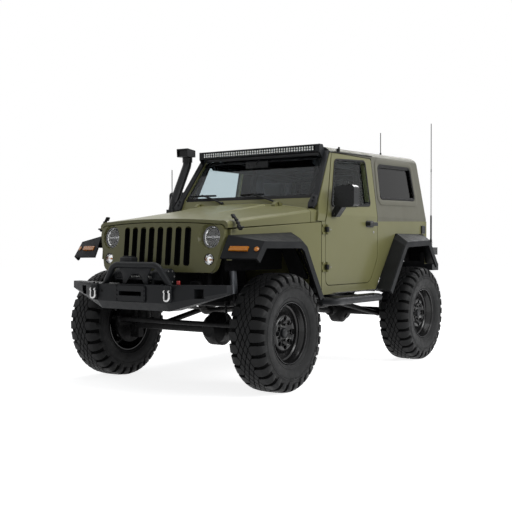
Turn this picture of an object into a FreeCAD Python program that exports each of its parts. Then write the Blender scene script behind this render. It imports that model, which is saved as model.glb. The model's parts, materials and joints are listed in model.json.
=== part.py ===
"""Lifted short-wheelbase off-road 4x4 with a hard top, built as separate named pieces.

Frame: +X forward, +Y to the vehicle's left, +Z up, in millimetres. The origin lies on the
ground, midway between the axles. Each piece is written to parts/NODE.step.
"""
import FreeCAD, Part
import math
import os

# Wheels
wheelbase = 2424.0
half_track = 830.0
tyre_radius = 457.0
tyre_half_width = 156.0
tread_half_width = 132.0
tread_depth = 18.0
lug_side_reach = 52.0
lug_skin = 6.0
rim_seat_radius = 238.0
rim_lip_radius = 236.7
rim_half_width = 127.0
rim_wall = 9.0
rim_drop = 26.0
rim_disc_radius = 168.0
rim_disc_offset = 28.0
rim_disc_wall = 12.0
rim_crown = 46.0
rim_hub_radius = 46.0
rim_hub_length = 62.0
rim_window_radius = 23.0
rim_window_circle = 112.0
rim_window_count = 8
pitch_count = 18
lug_overlap = 16.0
tyre_bulge_share = 0.52
bead_share = 0.72

# Steering and axles
kingpin_y = 640.0
kingpin_radius = 22.0
steer_arm_reach = 188.0
tie_rod_radius = 19.0
tie_rod_rise = 24.0
tie_rod_end_radius = 30.0
hub_radius = 74.0
hub_flange_gap = 0.3
knuckle_half_height = 92.0
knuckle_width = 60.0
knuckle_ear = 26.0
knuckle_gap = 0.3
yoke_gap = 5.0
yoke_corner_share = 1.42
brake_radius = 165.0
brake_thickness = 26.0
axle_radius = 42.0
diff_radius = 132.0
diff_half_width = 96.0
diff_cover_radius = 118.0
diff_cover_depth = 74.0
front_diff_y = 270.0
pinion_radius = 52.0
pinion_length = 190.0

# Frame rails
rail_y = 430.0
rail_width = 76.0
rail_height = 120.0
rail_mid_z = 760.0
rail_front_z = 810.0
rail_rear_rise = 140.0
rail_tail_z = 940.0
rail_front_x = 1748.0
rail_kick_front_x = 950.0
rail_kick_low_x = 700.0
rail_rear_low_x = -660.0
rail_rear_high_x = -900.0
rail_rear_x = -1771.7
crossmember_width = 90.0
crossmember_height = 70.0
spring_y = 532.0
spring_tower_width = 150.0
spring_tower_depth = 60.0
spring_radius = 56.0
spring_seat_gap = 0.3

# Body: doors, tub and wall band
side_y = 790.0
knee_z = 1390.0
tumblehome_share = 0.16
wall = 48.0
skin = 26.0
panel_gap = 6.0
belt_front_z = 1326.0
belt_rear_z = 1372.0
sill_front_z = 707.0
sill_rear_z = 718.0
door_bottom_z = 781.0
door_front_x = 411.0
door_rear_x = -552.0
door_curve_z = 1010.0
door_curve_x = -400.0
door_top_front_x = 158.0
door_top_rear_x = -583.0
door_top_z = 1940.0
door_corner = 58.0
door_curve_radius = 130.0
door_top_corner = 22.0
window_corner = 34.0
glass_thickness = 5.0
window_bottom_front = (288.0, 1466.0)
window_top_front = (113.0, 1873.0)
window_top_rear = (-445.0, 1902.0)
window_bottom_rear = (-431.0, 1493.0)
tub_rear_x = -1660.0
floor_z = 765.0
floor_thickness = 20.0
cargo_floor_z = 965.0
cargo_step_x = -560.0
cowl_front_x = 600.0
cowl_split_x = 470.0
rear_corner_y = 560.0
rear_sill_z = 955.0

# Rear arch of the tub
rear_arch_low = (-515.0, 709.0)
rear_arch_top_front = (-928.0, 1239.0)
rear_arch_top_rear = (-1560.0, 1239.0)
rear_arch_end = (-1640.0, 950.0)
arch_lip = 34.0
wheelhouse_y = 610.0

# Hood and cowl
hood_rear_x = 606.0
hood_front_x = 1648.0
hood_rear_half = 762.0
hood_front_half = 648.0
hood_rear_split_z = 1316.0
hood_front_split_z = 1250.0
hood_rear_shoulder_z = 1424.0
hood_front_shoulder_z = 1304.0
hood_rear_centre_z = 1482.0
hood_front_centre_z = 1330.0
hood_shoulder_inset = 58.0
hood_edge_round = 50.0
hood_skin = 24.0
bulge_rear_half = 330.0
bulge_front_half = 250.0
bulge_height = 20.0
bulge_front_x = 1500.0
bulge_rear_x = 660.0
bulge_slope = 46.0
hood_hinge_x = 600.0
hood_hinge_z = 1490.0
hood_hinge_y = 420.0
hood_hinge_radius = 9.0
hood_hinge_half = 18.0
hood_hinge_ear = 12.0
hood_hinge_leaf = 46.0

# Front fenders and grille
fender_front_x = 1640.0
fender_bottom_z = 1010.0
fender_top_gap = 5.0
liner_thickness = 10.0
liner_y = 585.0
liner_bottom_z = 930.0
grille_centre_x = 1690.0
grille_edge_x = 1647.0
grille_half = 633.0
grille_top_z = 1312.0
grille_bottom_z = 918.0
grille_top_half = 618.0
grille_waist_z = 1208.0
grille_bottom_half = 562.0
grille_top_round = 88.0
grille_bottom_round = 70.0
grille_thickness = 46.0
grille_lean_deg = 5.3
slot_count = 8
slot_pitch = 89.0
slot_width = 57.0
slot_top_z = 1266.0
slot_bottom_z = 962.0
headlamp_y = 507.0
headlamp_z = 1190.0
headlamp_radius = 84.0
headlamp_recess = 104.0
headlamp_depth = 70.0
turn_lamp_y = 510.0
turn_lamp_z = 1019.0
turn_lamp_radius = 42.0
lamp_gap = 0.3

# Flares
flare_thickness = 16.0
flare_lip = 52.0
flare_lip_thickness = 18.0
flare_front_rear_y = 970.0
flare_front_nose_y = 935.0
flare_rear_y = 968.0
flare_lamp_width = 150.0
flare_lamp_height = 38.0
flare_lamp_depth = 10.0
flare_marker_radius = 22.0
front_flare_inner = ((459.0, 707.0), (752.0, 1180.0), (870.0, 1229.0), (1598.0, 1200.0), (1690.0, 1030.0))
front_flare_outer = ((742.0, 710.0), (978.0, 1114.0), (1040.0, 1153.0), (1538.0, 1154.0), (1635.0, 1028.0))
rear_flare_inner = ((-515.0, 709.0), (-886.0, 1190.0), (-960.0, 1239.0), (-1560.0, 1239.0), (-1648.0, 945.0))
rear_flare_outer = ((-466.0, 709.0), (-782.0, 1122.0), (-830.0, 1158.0), (-1343.0, 1176.0), (-1548.0, 935.0))

# Windscreen and hard top
screen_foot_x = 503.0
screen_foot_z = 1476.0
screen_lean_deg = 34.3
screen_height = 565.0
screen_thickness = 34.0
screen_foot_half = 772.0
screen_top_half = 704.0
screen_sill = 62.0
screen_head = 30.0
screen_post = 64.0
screen_glass_inset = 10.0
screen_foot_gap = 4.0
screen_crown_y = 500.0
screen_crown = 17.0
screen_crown_top = 39.0
roof_front_x = 196.0
roof_rear_x = -1648.0
roof_front_z = 2010.0
roof_rear_z = 2056.0
roof_edge_drop = 74.0
roof_edge_half = 690.0
roof_front_gutter_z = 1946.0
roof_rear_gutter_z = 1974.0
roof_shell = 38.0
roof_rear_round = 130.0
roof_rear_lean = 44.0
quarter_top_front = (-704.0, 1888.0)
quarter_top_rear = (-1415.0, 1905.0)
quarter_bottom_rear = (-1433.0, 1582.0)
quarter_bottom_front = (-659.0, 1566.0)
rear_glass_half = 520.0
rear_glass_bottom_z = 1440.0
rear_glass_top_z = 1905.0

# Tailgate and spare wheel
tailgate_half = 552.0
tailgate_bottom_z = 962.0
tailgate_top_z = 1364.0
tailgate_thickness = 58.0
tailgate_hinge_y = -575.0
tailgate_hinge_x = -1690.0
hinge_pin_radius = 9.0
hinge_barrel_radius = 14.0
hinge_leaf = 9.0
spare_z = 1418.0
spare_gap = 20.0
carrier_plate = 150.0
carrier_tube = 40.0

# Door furniture
door_hinge_y = 810.0
door_hinge_upper_z = 1258.0
door_hinge_lower_z = 941.0
door_hinge_height = 84.0
door_hinge_strap = 92.0
door_handle_x = -396.0
door_handle_z = 1320.0
door_handle_length = 150.0
door_handle_height = 34.0
door_handle_reach = 46.0
mirror_front_x = 318.0
mirror_depth = 96.0
mirror_inner_y = 820.0
mirror_outer_y = 1012.0
mirror_bottom_z = 1447.0
mirror_top_z = 1635.0
mirror_corner = 34.0
mirror_arm_height = 40.0

# Front bumper
bumper_face_x = 1950.0
bumper_top_z = 829.0
bumper_fold_z = 698.0
bumper_bottom_z = 637.0
bumper_under_x = 1902.0
bumper_back_x = 1762.0
bumper_half = 340.0
wing_half = 780.0
wing_face_x = 1787.0
wing_back_x = 1716.0
wing_top_z = 836.0
wing_bottom_z = 769.0
wing_fold_z = 782.0
fairlead_half = 112.0
fairlead_height = 34.0
fairlead_z = 762.0
fairlead_plate_half = 158.0
fairlead_plate_height = 128.0
fairlead_plate = 10.0
lamp_hole_inner_y = 548.0
lamp_hole_outer_y = 616.0
lamp_hole_bottom_z = 736.0
lamp_hole_top_z = 806.0
hoop_foot_y = 337.0
hoop_top_y = 224.0
hoop_foot_x = 1880.0
hoop_top_x = 1900.0
hoop_top_z = 975.0
hoop_radius = 24.0
hoop_bend = 90.0
gusset = 10.0
shackle_y = 373.0
shackle_z = 742.0
shackle_lug_thickness = 24.0
shackle_lug_reach = 46.0
shackle_lug_height = 92.0
shackle_bar = 9.0
shackle_half_width = 34.0
shackle_height = 96.0

# Winch
winch_x = 1800.0
winch_z = 892.0
winch_half = 262.0
winch_end_radius = 58.0
winch_end_length = 132.0
winch_drum_radius = 38.0
winch_bar_radius = 11.0
winch_bar_spread = 50.0
winch_foot = 12.0

# Light bar
light_bar_half = 648.0
light_bar_x = 262.0
light_bar_depth = 58.0
light_bar_top_z = 2002.0
light_bar_height = 70.0
light_bar_lens_half = 613.0
light_bar_lens_height = 42.0
light_bar_lens_depth = 6.0
light_bar_bracket = 12.0

# Snorkel
snorkel_y = -828.0
snorkel_radius = 41.0
snorkel_foot_x = 486.0
snorkel_foot_z = 1440.0
snorkel_low_x = 462.0
snorkel_low_z = 1530.0
snorkel_top_x = 264.0
snorkel_top_z = 1900.0
snorkel_neck_z = 1968.0
snorkel_head_depth = 118.0
snorkel_head_half = 66.0
snorkel_head_height = 80.0
snorkel_clamp = 7.0
snorkel_bend = 120.0

# Side steps
slider_y = 903.0
slider_z = 655.0
slider_radius = 33.0
slider_front_x = 440.0
slider_rear_x = -380.0
slider_inner_y = 806.0
slider_inner_radius = 20.0
slider_leg_radius = 24.0
slider_leg_gap = 3.6
slider_bend = 60.0
slider_plate = 8.0

# Rear bumper, hitch and lamps
rear_bumper_half = 850.0
rear_bumper_face_x = -1900.0
rear_bumper_front_x = -1772.0
rear_bumper_bottom_z = 866.0
rear_bumper_top_z = 936.0
rear_bumper_return_x = -1672.0
rear_bumper_return = 70.0
hitch_outer_half = 31.75
hitch_inner_half = 25.7
hitch_length = 230.0
hitch_mouth_x = -1908.0
hitch_z = 812.0
hitch_pin_radius = 8.2
hitch_pin_setback = 62.0
tail_lamp_inner_y = 612.0
tail_lamp_outer_y = 742.0
tail_lamp_bottom_z = 1192.0
tail_lamp_top_z = 1350.0
tail_lamp_depth = 52.0
side_marker_rear_x = -1606.0
side_marker_front_x = -1522.0
side_marker_bottom_z = 1243.0
side_marker_top_z = 1326.0
side_marker_depth = 14.0

# Antennas
whip_x = -1694.0
whip_y = 826.0
whip_base_z = 1187.0
whip_joint_z = 1430.0
whip_top_z = 2385.0
whip_low_radius = 9.0
whip_radius = 4.0
whip_bracket = 76.0
whip_bracket_bottom_z = 1028.0
whip_bracket_top_z = 1104.0
roof_whip_x = -988.0
roof_whip_y = 600.0
roof_whip_height = 216.0
cowl_whip_x = 552.0
cowl_whip_height = 480.0

# Cabin
seat_y = 350.0
seat_half = 200.0
seat_front_x = 150.0
seat_rear_x = -330.0
seat_bottom_z = 905.0
seat_top_z = 1075.0
seat_back_top_z = 1610.0
seat_back_thickness = 130.0
seat_back_lean = 150.0
head_rest_half = 120.0
head_rest_height = 170.0
seat_gap = 0.3
seat_round = 46.0
seat_rail_width = 40.0
bench_half = 520.0
bench_front_x = -700.0
bench_rear_x = -1190.0
bench_top_z = 1130.0
bench_back_top_z = 1590.0
bench_back_lean = 80.0
dash_front_x = 573.7
dash_rear_x = 318.0
dash_top_z = 1395.0
dash_bottom_z = 1060.0
dash_half = 672.0
dash_round = 60.0
wheel_hub_x = 182.0
wheel_hub_z = 1330.0
wheel_hub_y = 370.0
wheel_ring_radius = 182.0
wheel_ring_bar = 15.0
wheel_tilt_deg = 24.0
column_radius = 30.0
column_drop = 45.0
cage_radius = 30.0
cage_half = 590.0
cage_top_z = 1862.0
cage_hoop_x = -500.0
cage_rear_x = -1430.0
cage_front_x = 190.0
cage_bend = 110.0
cage_rear_foot_z = 1268.0
cage_foot_y = 664.0

# Driveline and tanks
engine_front_x = 1430.0
engine_rear_x = 760.0
engine_half = 215.0
engine_bottom_z = 740.0
engine_top_z = 1240.0
radiator_x = 1560.0
radiator_depth = 48.0
radiator_half = 385.0
radiator_bottom_z = 905.0
radiator_top_z = 1262.0
gearbox_rear_x = 150.0
gearbox_half = 120.0
gearbox_bottom_z = 660.0
transfer_length = 230.0
transfer_bottom_z = 516.0
shaft_z = 556.0
transfer_y = 150.0
shaft_radius = 30.0
tank_front_x = -110.0
tank_rear_x = -520.0
tank_inner_y = 190.0
tank_bottom_z = 610.0
exhaust_radius = 29.0
exhaust_head_x = 860.0
exhaust_y = -190.0
exhaust_z = 550.0
muffler_radius = 92.0
muffler_x = -1480.0
muffler_half = 280.0
arm_radius = 24.0
arm_rail_x = 420.0
arm_rear_rail_x = -420.0
arm_axle_y = 430.0
arm_rail_y = 348.0
arm_rear_axle_y = 470.0
arm_drop = 24.0
shock_radius = 27.0
shock_rod_radius = 14.0
shock_top_z = 1010.0
shock_rear_top_z = 924.0
shock_cap = 18.0
shock_post = 50.0
shock_y = 545.0
shock_offset = 96.0

overrun = 20.0
half_turn_deg = 180.0
half = 0.5
front_x = wheelbase * half
rear_x = -front_x
hub_z = tyre_radius
light_bar_bottom_z = light_bar_top_z - light_bar_height


# Building helpers

def point(x, y, z):
    return FreeCAD.Vector(x, y, z)


def along(start, end, share):
    return start + (end - start) * share


def between(x, x0, x1, value0, value1):
    return value0 + (value1 - value0) * (x - x0) / (x1 - x0)


def rounded_wire(points, radius=0):
    """Closed wire through the points, with each corner rounded as far as its edges allow."""
    radii = radius if isinstance(radius, (list, tuple)) else [radius] * len(points)
    starts, ends, bows = [], [], []
    for index, corner in enumerate(points):
        before = points[index - 1] - corner
        after = points[(index + 1) % len(points)] - corner
        if radii[index] <= 0:
            starts.append(corner)
            ends.append(corner)
            bows.append(None)
            continue
        room = min(before.Length, after.Length) * half
        before.normalize()
        after.normalize()
        half_turn = before.getAngle(after) * half
        cut = min(radii[index] / math.tan(half_turn), room)
        arc = cut * math.tan(half_turn)
        middle = before + after
        middle.normalize()
        starts.append(corner + before * cut)
        ends.append(corner + after * cut)
        bows.append(corner + middle * (arc / math.sin(half_turn) - arc))
    edges = []
    for index, corner in enumerate(points):
        if bows[index]:
            edges.append(Part.Arc(starts[index], bows[index], ends[index]).toShape())
        following = starts[(index + 1) % len(points)]
        if (following - ends[index]).Length > panel_gap * tiny_share:
            edges.append(Part.makeLine(ends[index], following))
    return Part.Wire(edges)


tiny_share = 0.001


def inset(outline, gap):
    """The outline moved inwards by the gap, with mitred corners."""
    count = len(outline)
    pairs = [(outline[i], outline[(i + 1) % count]) for i in range(count)]
    turn = sum(a[0] * b[1] - b[0] * a[1] for a, b in pairs)
    shift = math.copysign(gap, turn)
    normals = [(-(b[1] - a[1]) / math.dist(a, b), (b[0] - a[0]) / math.dist(a, b)) for a, b in pairs]
    moved = []
    for index, at in enumerate(outline):
        n, m = normals[index - 1], normals[index]
        reach = shift / (1 + n[0] * m[0] + n[1] * m[1])
        moved.append((at[0] + (n[0] + m[0]) * reach, at[1] + (n[1] + m[1]) * reach))
    return moved


def band(path, thickness):
    """Closed outline of a strip of this thickness that lies on the right of an open path."""
    legs = list(zip(path, path[1:]))
    normals = [((b[1] - a[1]) / math.dist(a, b), -(b[0] - a[0]) / math.dist(a, b)) for a, b in legs]
    normals = [normals[0]] + normals + [normals[-1]]
    under = []
    for index, at in enumerate(path):
        n, m = normals[index], normals[index + 1]
        reach = thickness / (1 + n[0] * m[0] + n[1] * m[1])
        under.append((at[0] + (n[0] + m[0]) * reach, at[1] + (n[1] + m[1]) * reach))
    return list(path) + under[::-1]


def solid_of(wire, direction):
    return Part.Face(wire).extrude(direction)


def side_plate(outline, y0, y1, radius=0):
    """Plate with an outline in X and Z, from y0 to y1."""
    wire = rounded_wire([point(x, y0, z) for x, z in outline], radius)
    return solid_of(wire, point(0, y1 - y0, 0))


def front_plate(outline, x0, x1, radius=0):
    """Plate with an outline in Y and Z, from x0 to x1."""
    wire = rounded_wire([point(x0, y, z) for y, z in outline], radius)
    return solid_of(wire, point(x1 - x0, 0, 0))


def floor_plate(outline, z0, z1, radius=0):
    """Plate with an outline in X and Y, from z0 to z1."""
    wire = rounded_wire([point(x, y, z0) for x, y in outline], radius)
    return solid_of(wire, point(0, 0, z1 - z0))


def box(x0, x1, y0, y1, z0, z1):
    low = point(min(x0, x1), min(y0, y1), min(z0, z1))
    return Part.makeBox(abs(x1 - x0), abs(y1 - y0), abs(z1 - z0), low)


def rod(start, end, radius):
    return Part.makeCylinder(radius, (end - start).Length, start, end - start)


def turned(profile, centre, axis):
    """Solid of revolution about an axis, from points of radius and height."""
    wire = rounded_wire([point(radius, 0, height) for radius, height in profile])
    shape = Part.Face(wire).revolve(point(0, 0, 0), point(0, 0, 1), 360)
    shape.Placement = FreeCAD.Placement(centre, FreeCAD.Rotation(point(0, 0, 1), axis))
    return shape


def bent_rod(points, radius, bend):
    """Round bar along straight runs joined by tangent arcs."""
    edges = []
    at = points[0]
    for before, corner, after in zip(points, points[1:], points[2:]):
        back = before - corner
        on = after - corner
        room = min(back.Length, on.Length) * half
        back.normalize()
        on.normalize()
        half_turn = back.getAngle(on) * half
        cut = min(bend / math.tan(half_turn), room)
        arc = cut * math.tan(half_turn)
        middle = back + on
        middle.normalize()
        start = corner + back * cut
        bow = corner + middle * (arc / math.sin(half_turn) - arc)
        if (start - at).Length > radius * tiny_share:
            edges.append(Part.makeLine(at, start))
        edges.append(Part.Arc(start, bow, corner + on * cut).toShape())
        at = corner + on * cut
    edges.append(Part.makeLine(at, points[-1]))
    ring = Part.Wire(Part.makeCircle(radius, points[0], points[1] - points[0]))
    return Part.Wire(edges).makePipeShell([ring], True, False)


def joined(*shapes):
    return shapes[0].fuse(list(shapes[1:])).removeSplitter()


def mirrored(shape):
    return shape.mirror(point(0, 0, 0), point(0, 1, 0))


def pair(shape):
    return [shape, mirrored(shape)]


def moved(shape, offset):
    copy = shape.copy()
    copy.translate(offset)
    return copy


def turned_by(shape, centre, axis, angle_deg):
    copy = shape.copy()
    copy.rotate(centre, axis, angle_deg)
    return copy


def save(name, *shapes):
    solids = [solid for shape in shapes for solid in shape.Solids]
    whole = solids[0] if len(solids) == 1 else Part.makeCompound(solids)
    whole.exportStep(os.path.join("parts", name + ".step"))


# Shared surfaces of the body

def wall_y(z):
    """Outer face of the body side: upright to the knee, then leaning in."""
    return side_y - tumblehome_share * max(z - knee_z, 0)


def wall_band(x0, x1, z0, z1, thickness):
    section = [
        (side_y, z0), (side_y, knee_z), (wall_y(z1), z1),
        (wall_y(z1) - thickness, z1), (side_y - thickness, knee_z), (side_y - thickness, z0),
    ]
    return front_plate(section, x0, x1)


def on_wall(outline, thickness, radius=0):
    """Panel of the left side that follows the wall, with an outline in X and Z."""
    xs = [x for x, z in outline]
    zs = [z for x, z in outline]
    wall_piece = wall_band(min(xs) - overrun, max(xs) + overrun, min(zs) - overrun, max(zs) + overrun, thickness)
    return wall_piece.common(side_plate(outline, 0, side_y + overrun, radius))


def through_wall(outline, radius=0):
    return side_plate(outline, side_y * half, side_y + overrun, radius)


def belt_z(x):
    return between(x, door_front_x, tub_rear_x, belt_front_z, belt_rear_z)


def split_z(x):
    return between(x, hood_rear_x, hood_front_x, hood_rear_split_z, hood_front_split_z)


def sill_z(x):
    return between(x, cowl_split_x, door_rear_x, sill_front_z, sill_rear_z)


def fender_y(x):
    return between(x, cowl_split_x, fender_front_x, side_y, hood_front_half)


def door_opening():
    return [
        (door_front_x, door_bottom_z), (door_front_x, belt_z(door_front_x)),
        (door_top_front_x, door_top_z), (door_top_rear_x, door_top_z),
        (door_rear_x, belt_z(door_rear_x)), (door_rear_x, door_curve_z), (door_curve_x, door_bottom_z),
    ]


def door_opening_radii():
    return [door_corner, 0, door_top_corner, door_top_corner, 0, door_curve_radius, door_curve_radius]


def window_outline():
    return [window_bottom_front, window_top_front, window_top_rear, window_bottom_rear]


def quarter_outline():
    return [quarter_bottom_front, quarter_top_front, quarter_top_rear, quarter_bottom_rear]


def hood_section(x, shrink=0, foot_z=None):
    """Arched section of the hood and cowl at a station, moved inwards by shrink."""
    half_width = between(x, hood_rear_x, hood_front_x, hood_rear_half, hood_front_half) - shrink
    split = split_z(x)
    shoulder = between(x, hood_rear_x, hood_front_x, hood_rear_shoulder_z, hood_front_shoulder_z) - shrink
    centre = between(x, hood_rear_x, hood_front_x, hood_rear_centre_z, hood_front_centre_z) - shrink
    low = foot_z or split - (overrun if shrink else 0)
    crown = half_width - hood_shoulder_inset
    corner = point(x, half_width, shoulder - hood_edge_round * half)
    edge = point(x, crown, shoulder)
    middle = point(x, half_width - hood_shoulder_inset * corner_share, shoulder - hood_edge_round * bow_share)
    flip = [point(x, -p.y, p.z) for p in (corner, middle, edge)]
    edges = [
        Part.makeLine(point(x, half_width, low), corner),
        Part.Arc(corner, middle, edge).toShape(),
        Part.Arc(edge, point(x, 0, centre), flip[2]).toShape(),
        Part.Arc(flip[2], flip[1], flip[0]).toShape(),
        Part.makeLine(flip[0], point(x, -half_width, low)),
        Part.makeLine(point(x, -half_width, low), point(x, half_width, low)),
    ]
    return Part.Wire(edges)


corner_share = 0.3
bow_share = 0.14


def hood_shell(x0, x1, thickness):
    outer = Part.makeLoft([hood_section(x0), hood_section(x1)], True, True)
    hollow = Part.makeLoft(
        [hood_section(x0 - overrun, thickness), hood_section(x1 + overrun, thickness)], True, True)
    return outer.cut(hollow)


# Wheels

def ring_point(radius, along_y, angle):
    return point(radius * math.cos(angle), along_y, radius * math.sin(angle))


def tyre():
    """Mud tyre on its side axis: flat-faced carcass with lugs that wrap over both shoulders."""
    quarter = math.pi / pitch_count * half
    top = tyre_radius / math.cos(quarter)
    groove = tyre_radius - tread_depth
    wall_height = groove - rim_seat_radius
    belly = (rim_seat_radius + wall_height * tyre_bulge_share, tyre_half_width - lug_skin)
    foot = (groove - lug_side_reach, tyre_half_width - lug_skin)
    side = [(rim_seat_radius, tyre_half_width * bead_share), belly, foot]
    low = [foot, (groove, tread_half_width - tread_depth), (groove, lug_overlap)]
    high = [foot, (groove - tread_depth * half, tyre_half_width), (top, tread_half_width)]
    crown = [tread_half_width, lug_overlap, -lug_overlap]
    faces = []

    def panel(corners):
        faces.append(Part.Face(Part.makePolygon(corners + corners[:1])))

    def strip(path, hand, start, end):
        for (r0, y0), (r1, y1) in zip(path, path[1:]):
            panel([ring_point(r0, hand * y0, start), ring_point(r1, hand * y1, start),
                   ring_point(r1, hand * y1, end), ring_point(r0, hand * y0, end)])

    for index in range(pitch_count * 2):
        start = -math.pi * half + (index * 2 - 1) * quarter
        end = start + 2 * quarter
        for hand in (1, -1):
            raised = (index % 2 == 0) == (hand > 0)
            strip(side, hand, start, end)
            strip(high if raised else low, hand, start, end)
            if raised:
                panel([ring_point(top, hand * y, start) for y in crown]
                      + [ring_point(top, hand * y, end) for y in crown[::-1]])
            else:
                strip([(groove, lug_overlap), (top, lug_overlap)], hand, start, end)
            panel([ring_point(r, hand * y, start) for r, y in high + [(top, lug_overlap)] + low[:0:-1]])
        strip([(rim_seat_radius, -side[0][1]), side[0]], 1, start, end)
    return Part.Solid(Part.makeShell(faces))


def rim():
    """Steel wheel, outboard side at +Y: stepped barrel, crowned disc with round windows, hub cap."""
    lip = rim_lip_radius
    seat = rim_lip_radius
    drop = seat - rim_drop
    barrel = [
        (lip, -rim_half_width), (seat, -rim_half_width * seat_share),
        (drop, -rim_half_width * half), (drop, rim_half_width * half), (seat, rim_half_width * seat_share),
        (lip, rim_half_width), (seat - rim_wall * 2, rim_half_width),
        (drop - rim_wall, rim_half_width * half + rim_wall), (drop - rim_wall, -rim_half_width * half - rim_wall),
        (seat - rim_wall * 2, -rim_half_width),
    ]
    outer = turned(barrel, point(0, 0, 0), point(0, 1, 0))
    bottom = rim_disc_offset
    top = bottom + rim_crown
    disc = turned([
        (0, bottom + rim_disc_wall), (rim_hub_radius, bottom + rim_disc_wall),
        (rim_disc_radius * disc_crest_share, top), (rim_disc_radius, bottom + rim_disc_wall),
        (drop - rim_wall * half, bottom + rim_disc_wall), (drop - rim_wall * half, bottom),
        (rim_disc_radius, bottom), (rim_disc_radius * disc_crest_share, top - rim_disc_wall),
        (rim_hub_radius, bottom), (0, bottom),
    ], point(0, 0, 0), point(0, 1, 0))
    hub = turned([
        (0, bottom), (rim_hub_radius, bottom), (rim_hub_radius, bottom + rim_hub_length - rim_wall),
        (rim_hub_radius - rim_wall, bottom + rim_hub_length), (0, bottom + rim_hub_length),
    ], point(0, 0, 0), point(0, 1, 0))
    windows = []
    for index in range(rim_window_count):
        angle = 2 * math.pi * index / rim_window_count
        at = point(rim_window_circle * math.cos(angle), bottom - overrun, rim_window_circle * math.sin(angle))
        windows.append(rod(at, at + point(0, rim_crown + overrun * 2, 0), rim_window_radius))
    return joined(outer, disc.cut(Part.makeCompound(windows)), hub)


disc_crest_share = 0.72
seat_share = 0.7


def spare_centre():
    return point(tub_rear_x - tailgate_thickness * half - spare_gap - tyre_half_width, 0, spare_z)


def make_wheels():
    tread, steel = tyre(), rim()
    places = {
        "fl": (front_x, half_track, 0), "fr": (front_x, -half_track, half_turn_deg),
        "rl": (rear_x, half_track, 0), "rr": (rear_x, -half_track, half_turn_deg),
    }
    for name, (x, y, turn_deg) in places.items():
        for node, shape in (("tyre_", tread), ("rim_", steel)):
            facing = turned_by(shape, point(0, 0, 0), point(0, 0, 1), turn_deg)
            save(node + name, moved(facing, point(x, y, hub_z)))
    for node, shape in (("spare_tyre", tread), ("spare_rim", steel)):
        save(node, moved(turned_by(shape, point(0, 0, 0), point(0, 0, 1), 90), spare_centre()))


# Axles and steering

def make_axles():
    for name, x, diff_y, facing in (("front_axle", front_x, front_diff_y, 1), ("rear_axle", rear_x, 0, -1)):
        end_y = yoke_y() if facing > 0 else half_track - brake_reach()
        tube = rod(point(x, -end_y, hub_z), point(x, end_y, hub_z), axle_radius)
        centre = point(x, diff_y, hub_z)
        housing = turned([
            (0, -diff_half_width), (axle_radius, -diff_half_width), (diff_radius, -diff_half_width * half),
            (diff_radius, diff_half_width * half), (axle_radius, diff_half_width), (0, diff_half_width),
        ], centre, point(0, 1, 0))
        cover = turned([
            (0, 0), (diff_cover_radius, 0), (diff_cover_radius, diff_radius * half),
            (diff_cover_radius * half, diff_radius * half + diff_cover_depth),
            (0, diff_radius * half + diff_cover_depth),
        ], centre, point(facing, 0, 0))
        pinion = rod(centre, centre - point(facing * pinion_length, 0, 0), pinion_radius)
        perches = [
            rod(point(x, side * spring_y, hub_z), point(x, side * spring_y, spring_low_z()), spring_radius)
            for side in (1, -1)
        ]
        pieces = [tube, housing, cover, pinion] + perches + arms(x)
        pieces += yokes() if facing > 0 else rear_hubs()
        save(name, joined(*pieces))


def brake_reach():
    return rim_half_width - rim_disc_offset * half


def yoke_y():
    return kingpin_y - knuckle_width * half * yoke_corner_share - yoke_gap


def yokes():
    """Forks at the ends of the front axle that hold the knuckles at top and bottom."""
    forks = []
    for side in (1, -1):
        web_y = yoke_y()
        web = box(front_x - knuckle_width * half, front_x + knuckle_width * half,
                  side * (web_y - knuckle_ear), side * web_y,
                  hub_z - knuckle_half_height - knuckle_ear, hub_z + knuckle_half_height + knuckle_ear)
        forks.append(web)
        for up in (1, -1):
            near = hub_z + up * (knuckle_half_height + knuckle_gap)
            far = hub_z + up * (knuckle_half_height + knuckle_ear)
            forks.append(box(front_x - knuckle_width * half, front_x + knuckle_width * half,
                             side * (web_y - knuckle_ear * half), side * (kingpin_y + kingpin_radius), near, far))
    return forks


def make_knuckles():
    for name, side in (("knuckle_left", 1), ("knuckle_right", -1)):
        upright = box(front_x - knuckle_width * half, front_x + knuckle_width * half,
                      side * (kingpin_y - knuckle_width * half), side * (kingpin_y + kingpin_radius),
                      hub_z - knuckle_half_height, hub_z + knuckle_half_height)
        hub_end = half_track + rim_disc_offset - hub_flange_gap
        spindle = rod(point(front_x, side * kingpin_y, hub_z), point(front_x, side * hub_end, hub_z), hub_radius)
        disc_y = kingpin_y + kingpin_radius + brake_thickness
        disc = rod(point(front_x, side * disc_y, hub_z), point(front_x, side * (disc_y + brake_thickness), hub_z),
                   brake_radius)
        arm_z = tie_rod_z() - tie_rod_end_radius - knuckle_gap - knuckle_ear
        arm = box(front_x, front_x + steer_arm_reach + kingpin_radius,
                  side * (kingpin_y - kingpin_radius), side * (kingpin_y + kingpin_radius),
                  arm_z, arm_z + knuckle_ear)
        save(name, joined(upright, spindle, disc, arm))


def tie_rod_z():
    return hub_z + tie_rod_rise + knuckle_ear


def make_tie_rod():
    x = front_x + steer_arm_reach
    bar = rod(point(x, -kingpin_y, tie_rod_z()), point(x, kingpin_y, tie_rod_z()), tie_rod_radius)
    ends = [
        rod(point(x, side * kingpin_y, tie_rod_z() - tie_rod_end_radius),
            point(x, side * kingpin_y, tie_rod_z() + tie_rod_radius), tie_rod_end_radius * end_share)
        for side in (1, -1)
    ]
    save("tie_rod", joined(bar, *ends))


end_share = 0.75


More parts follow.
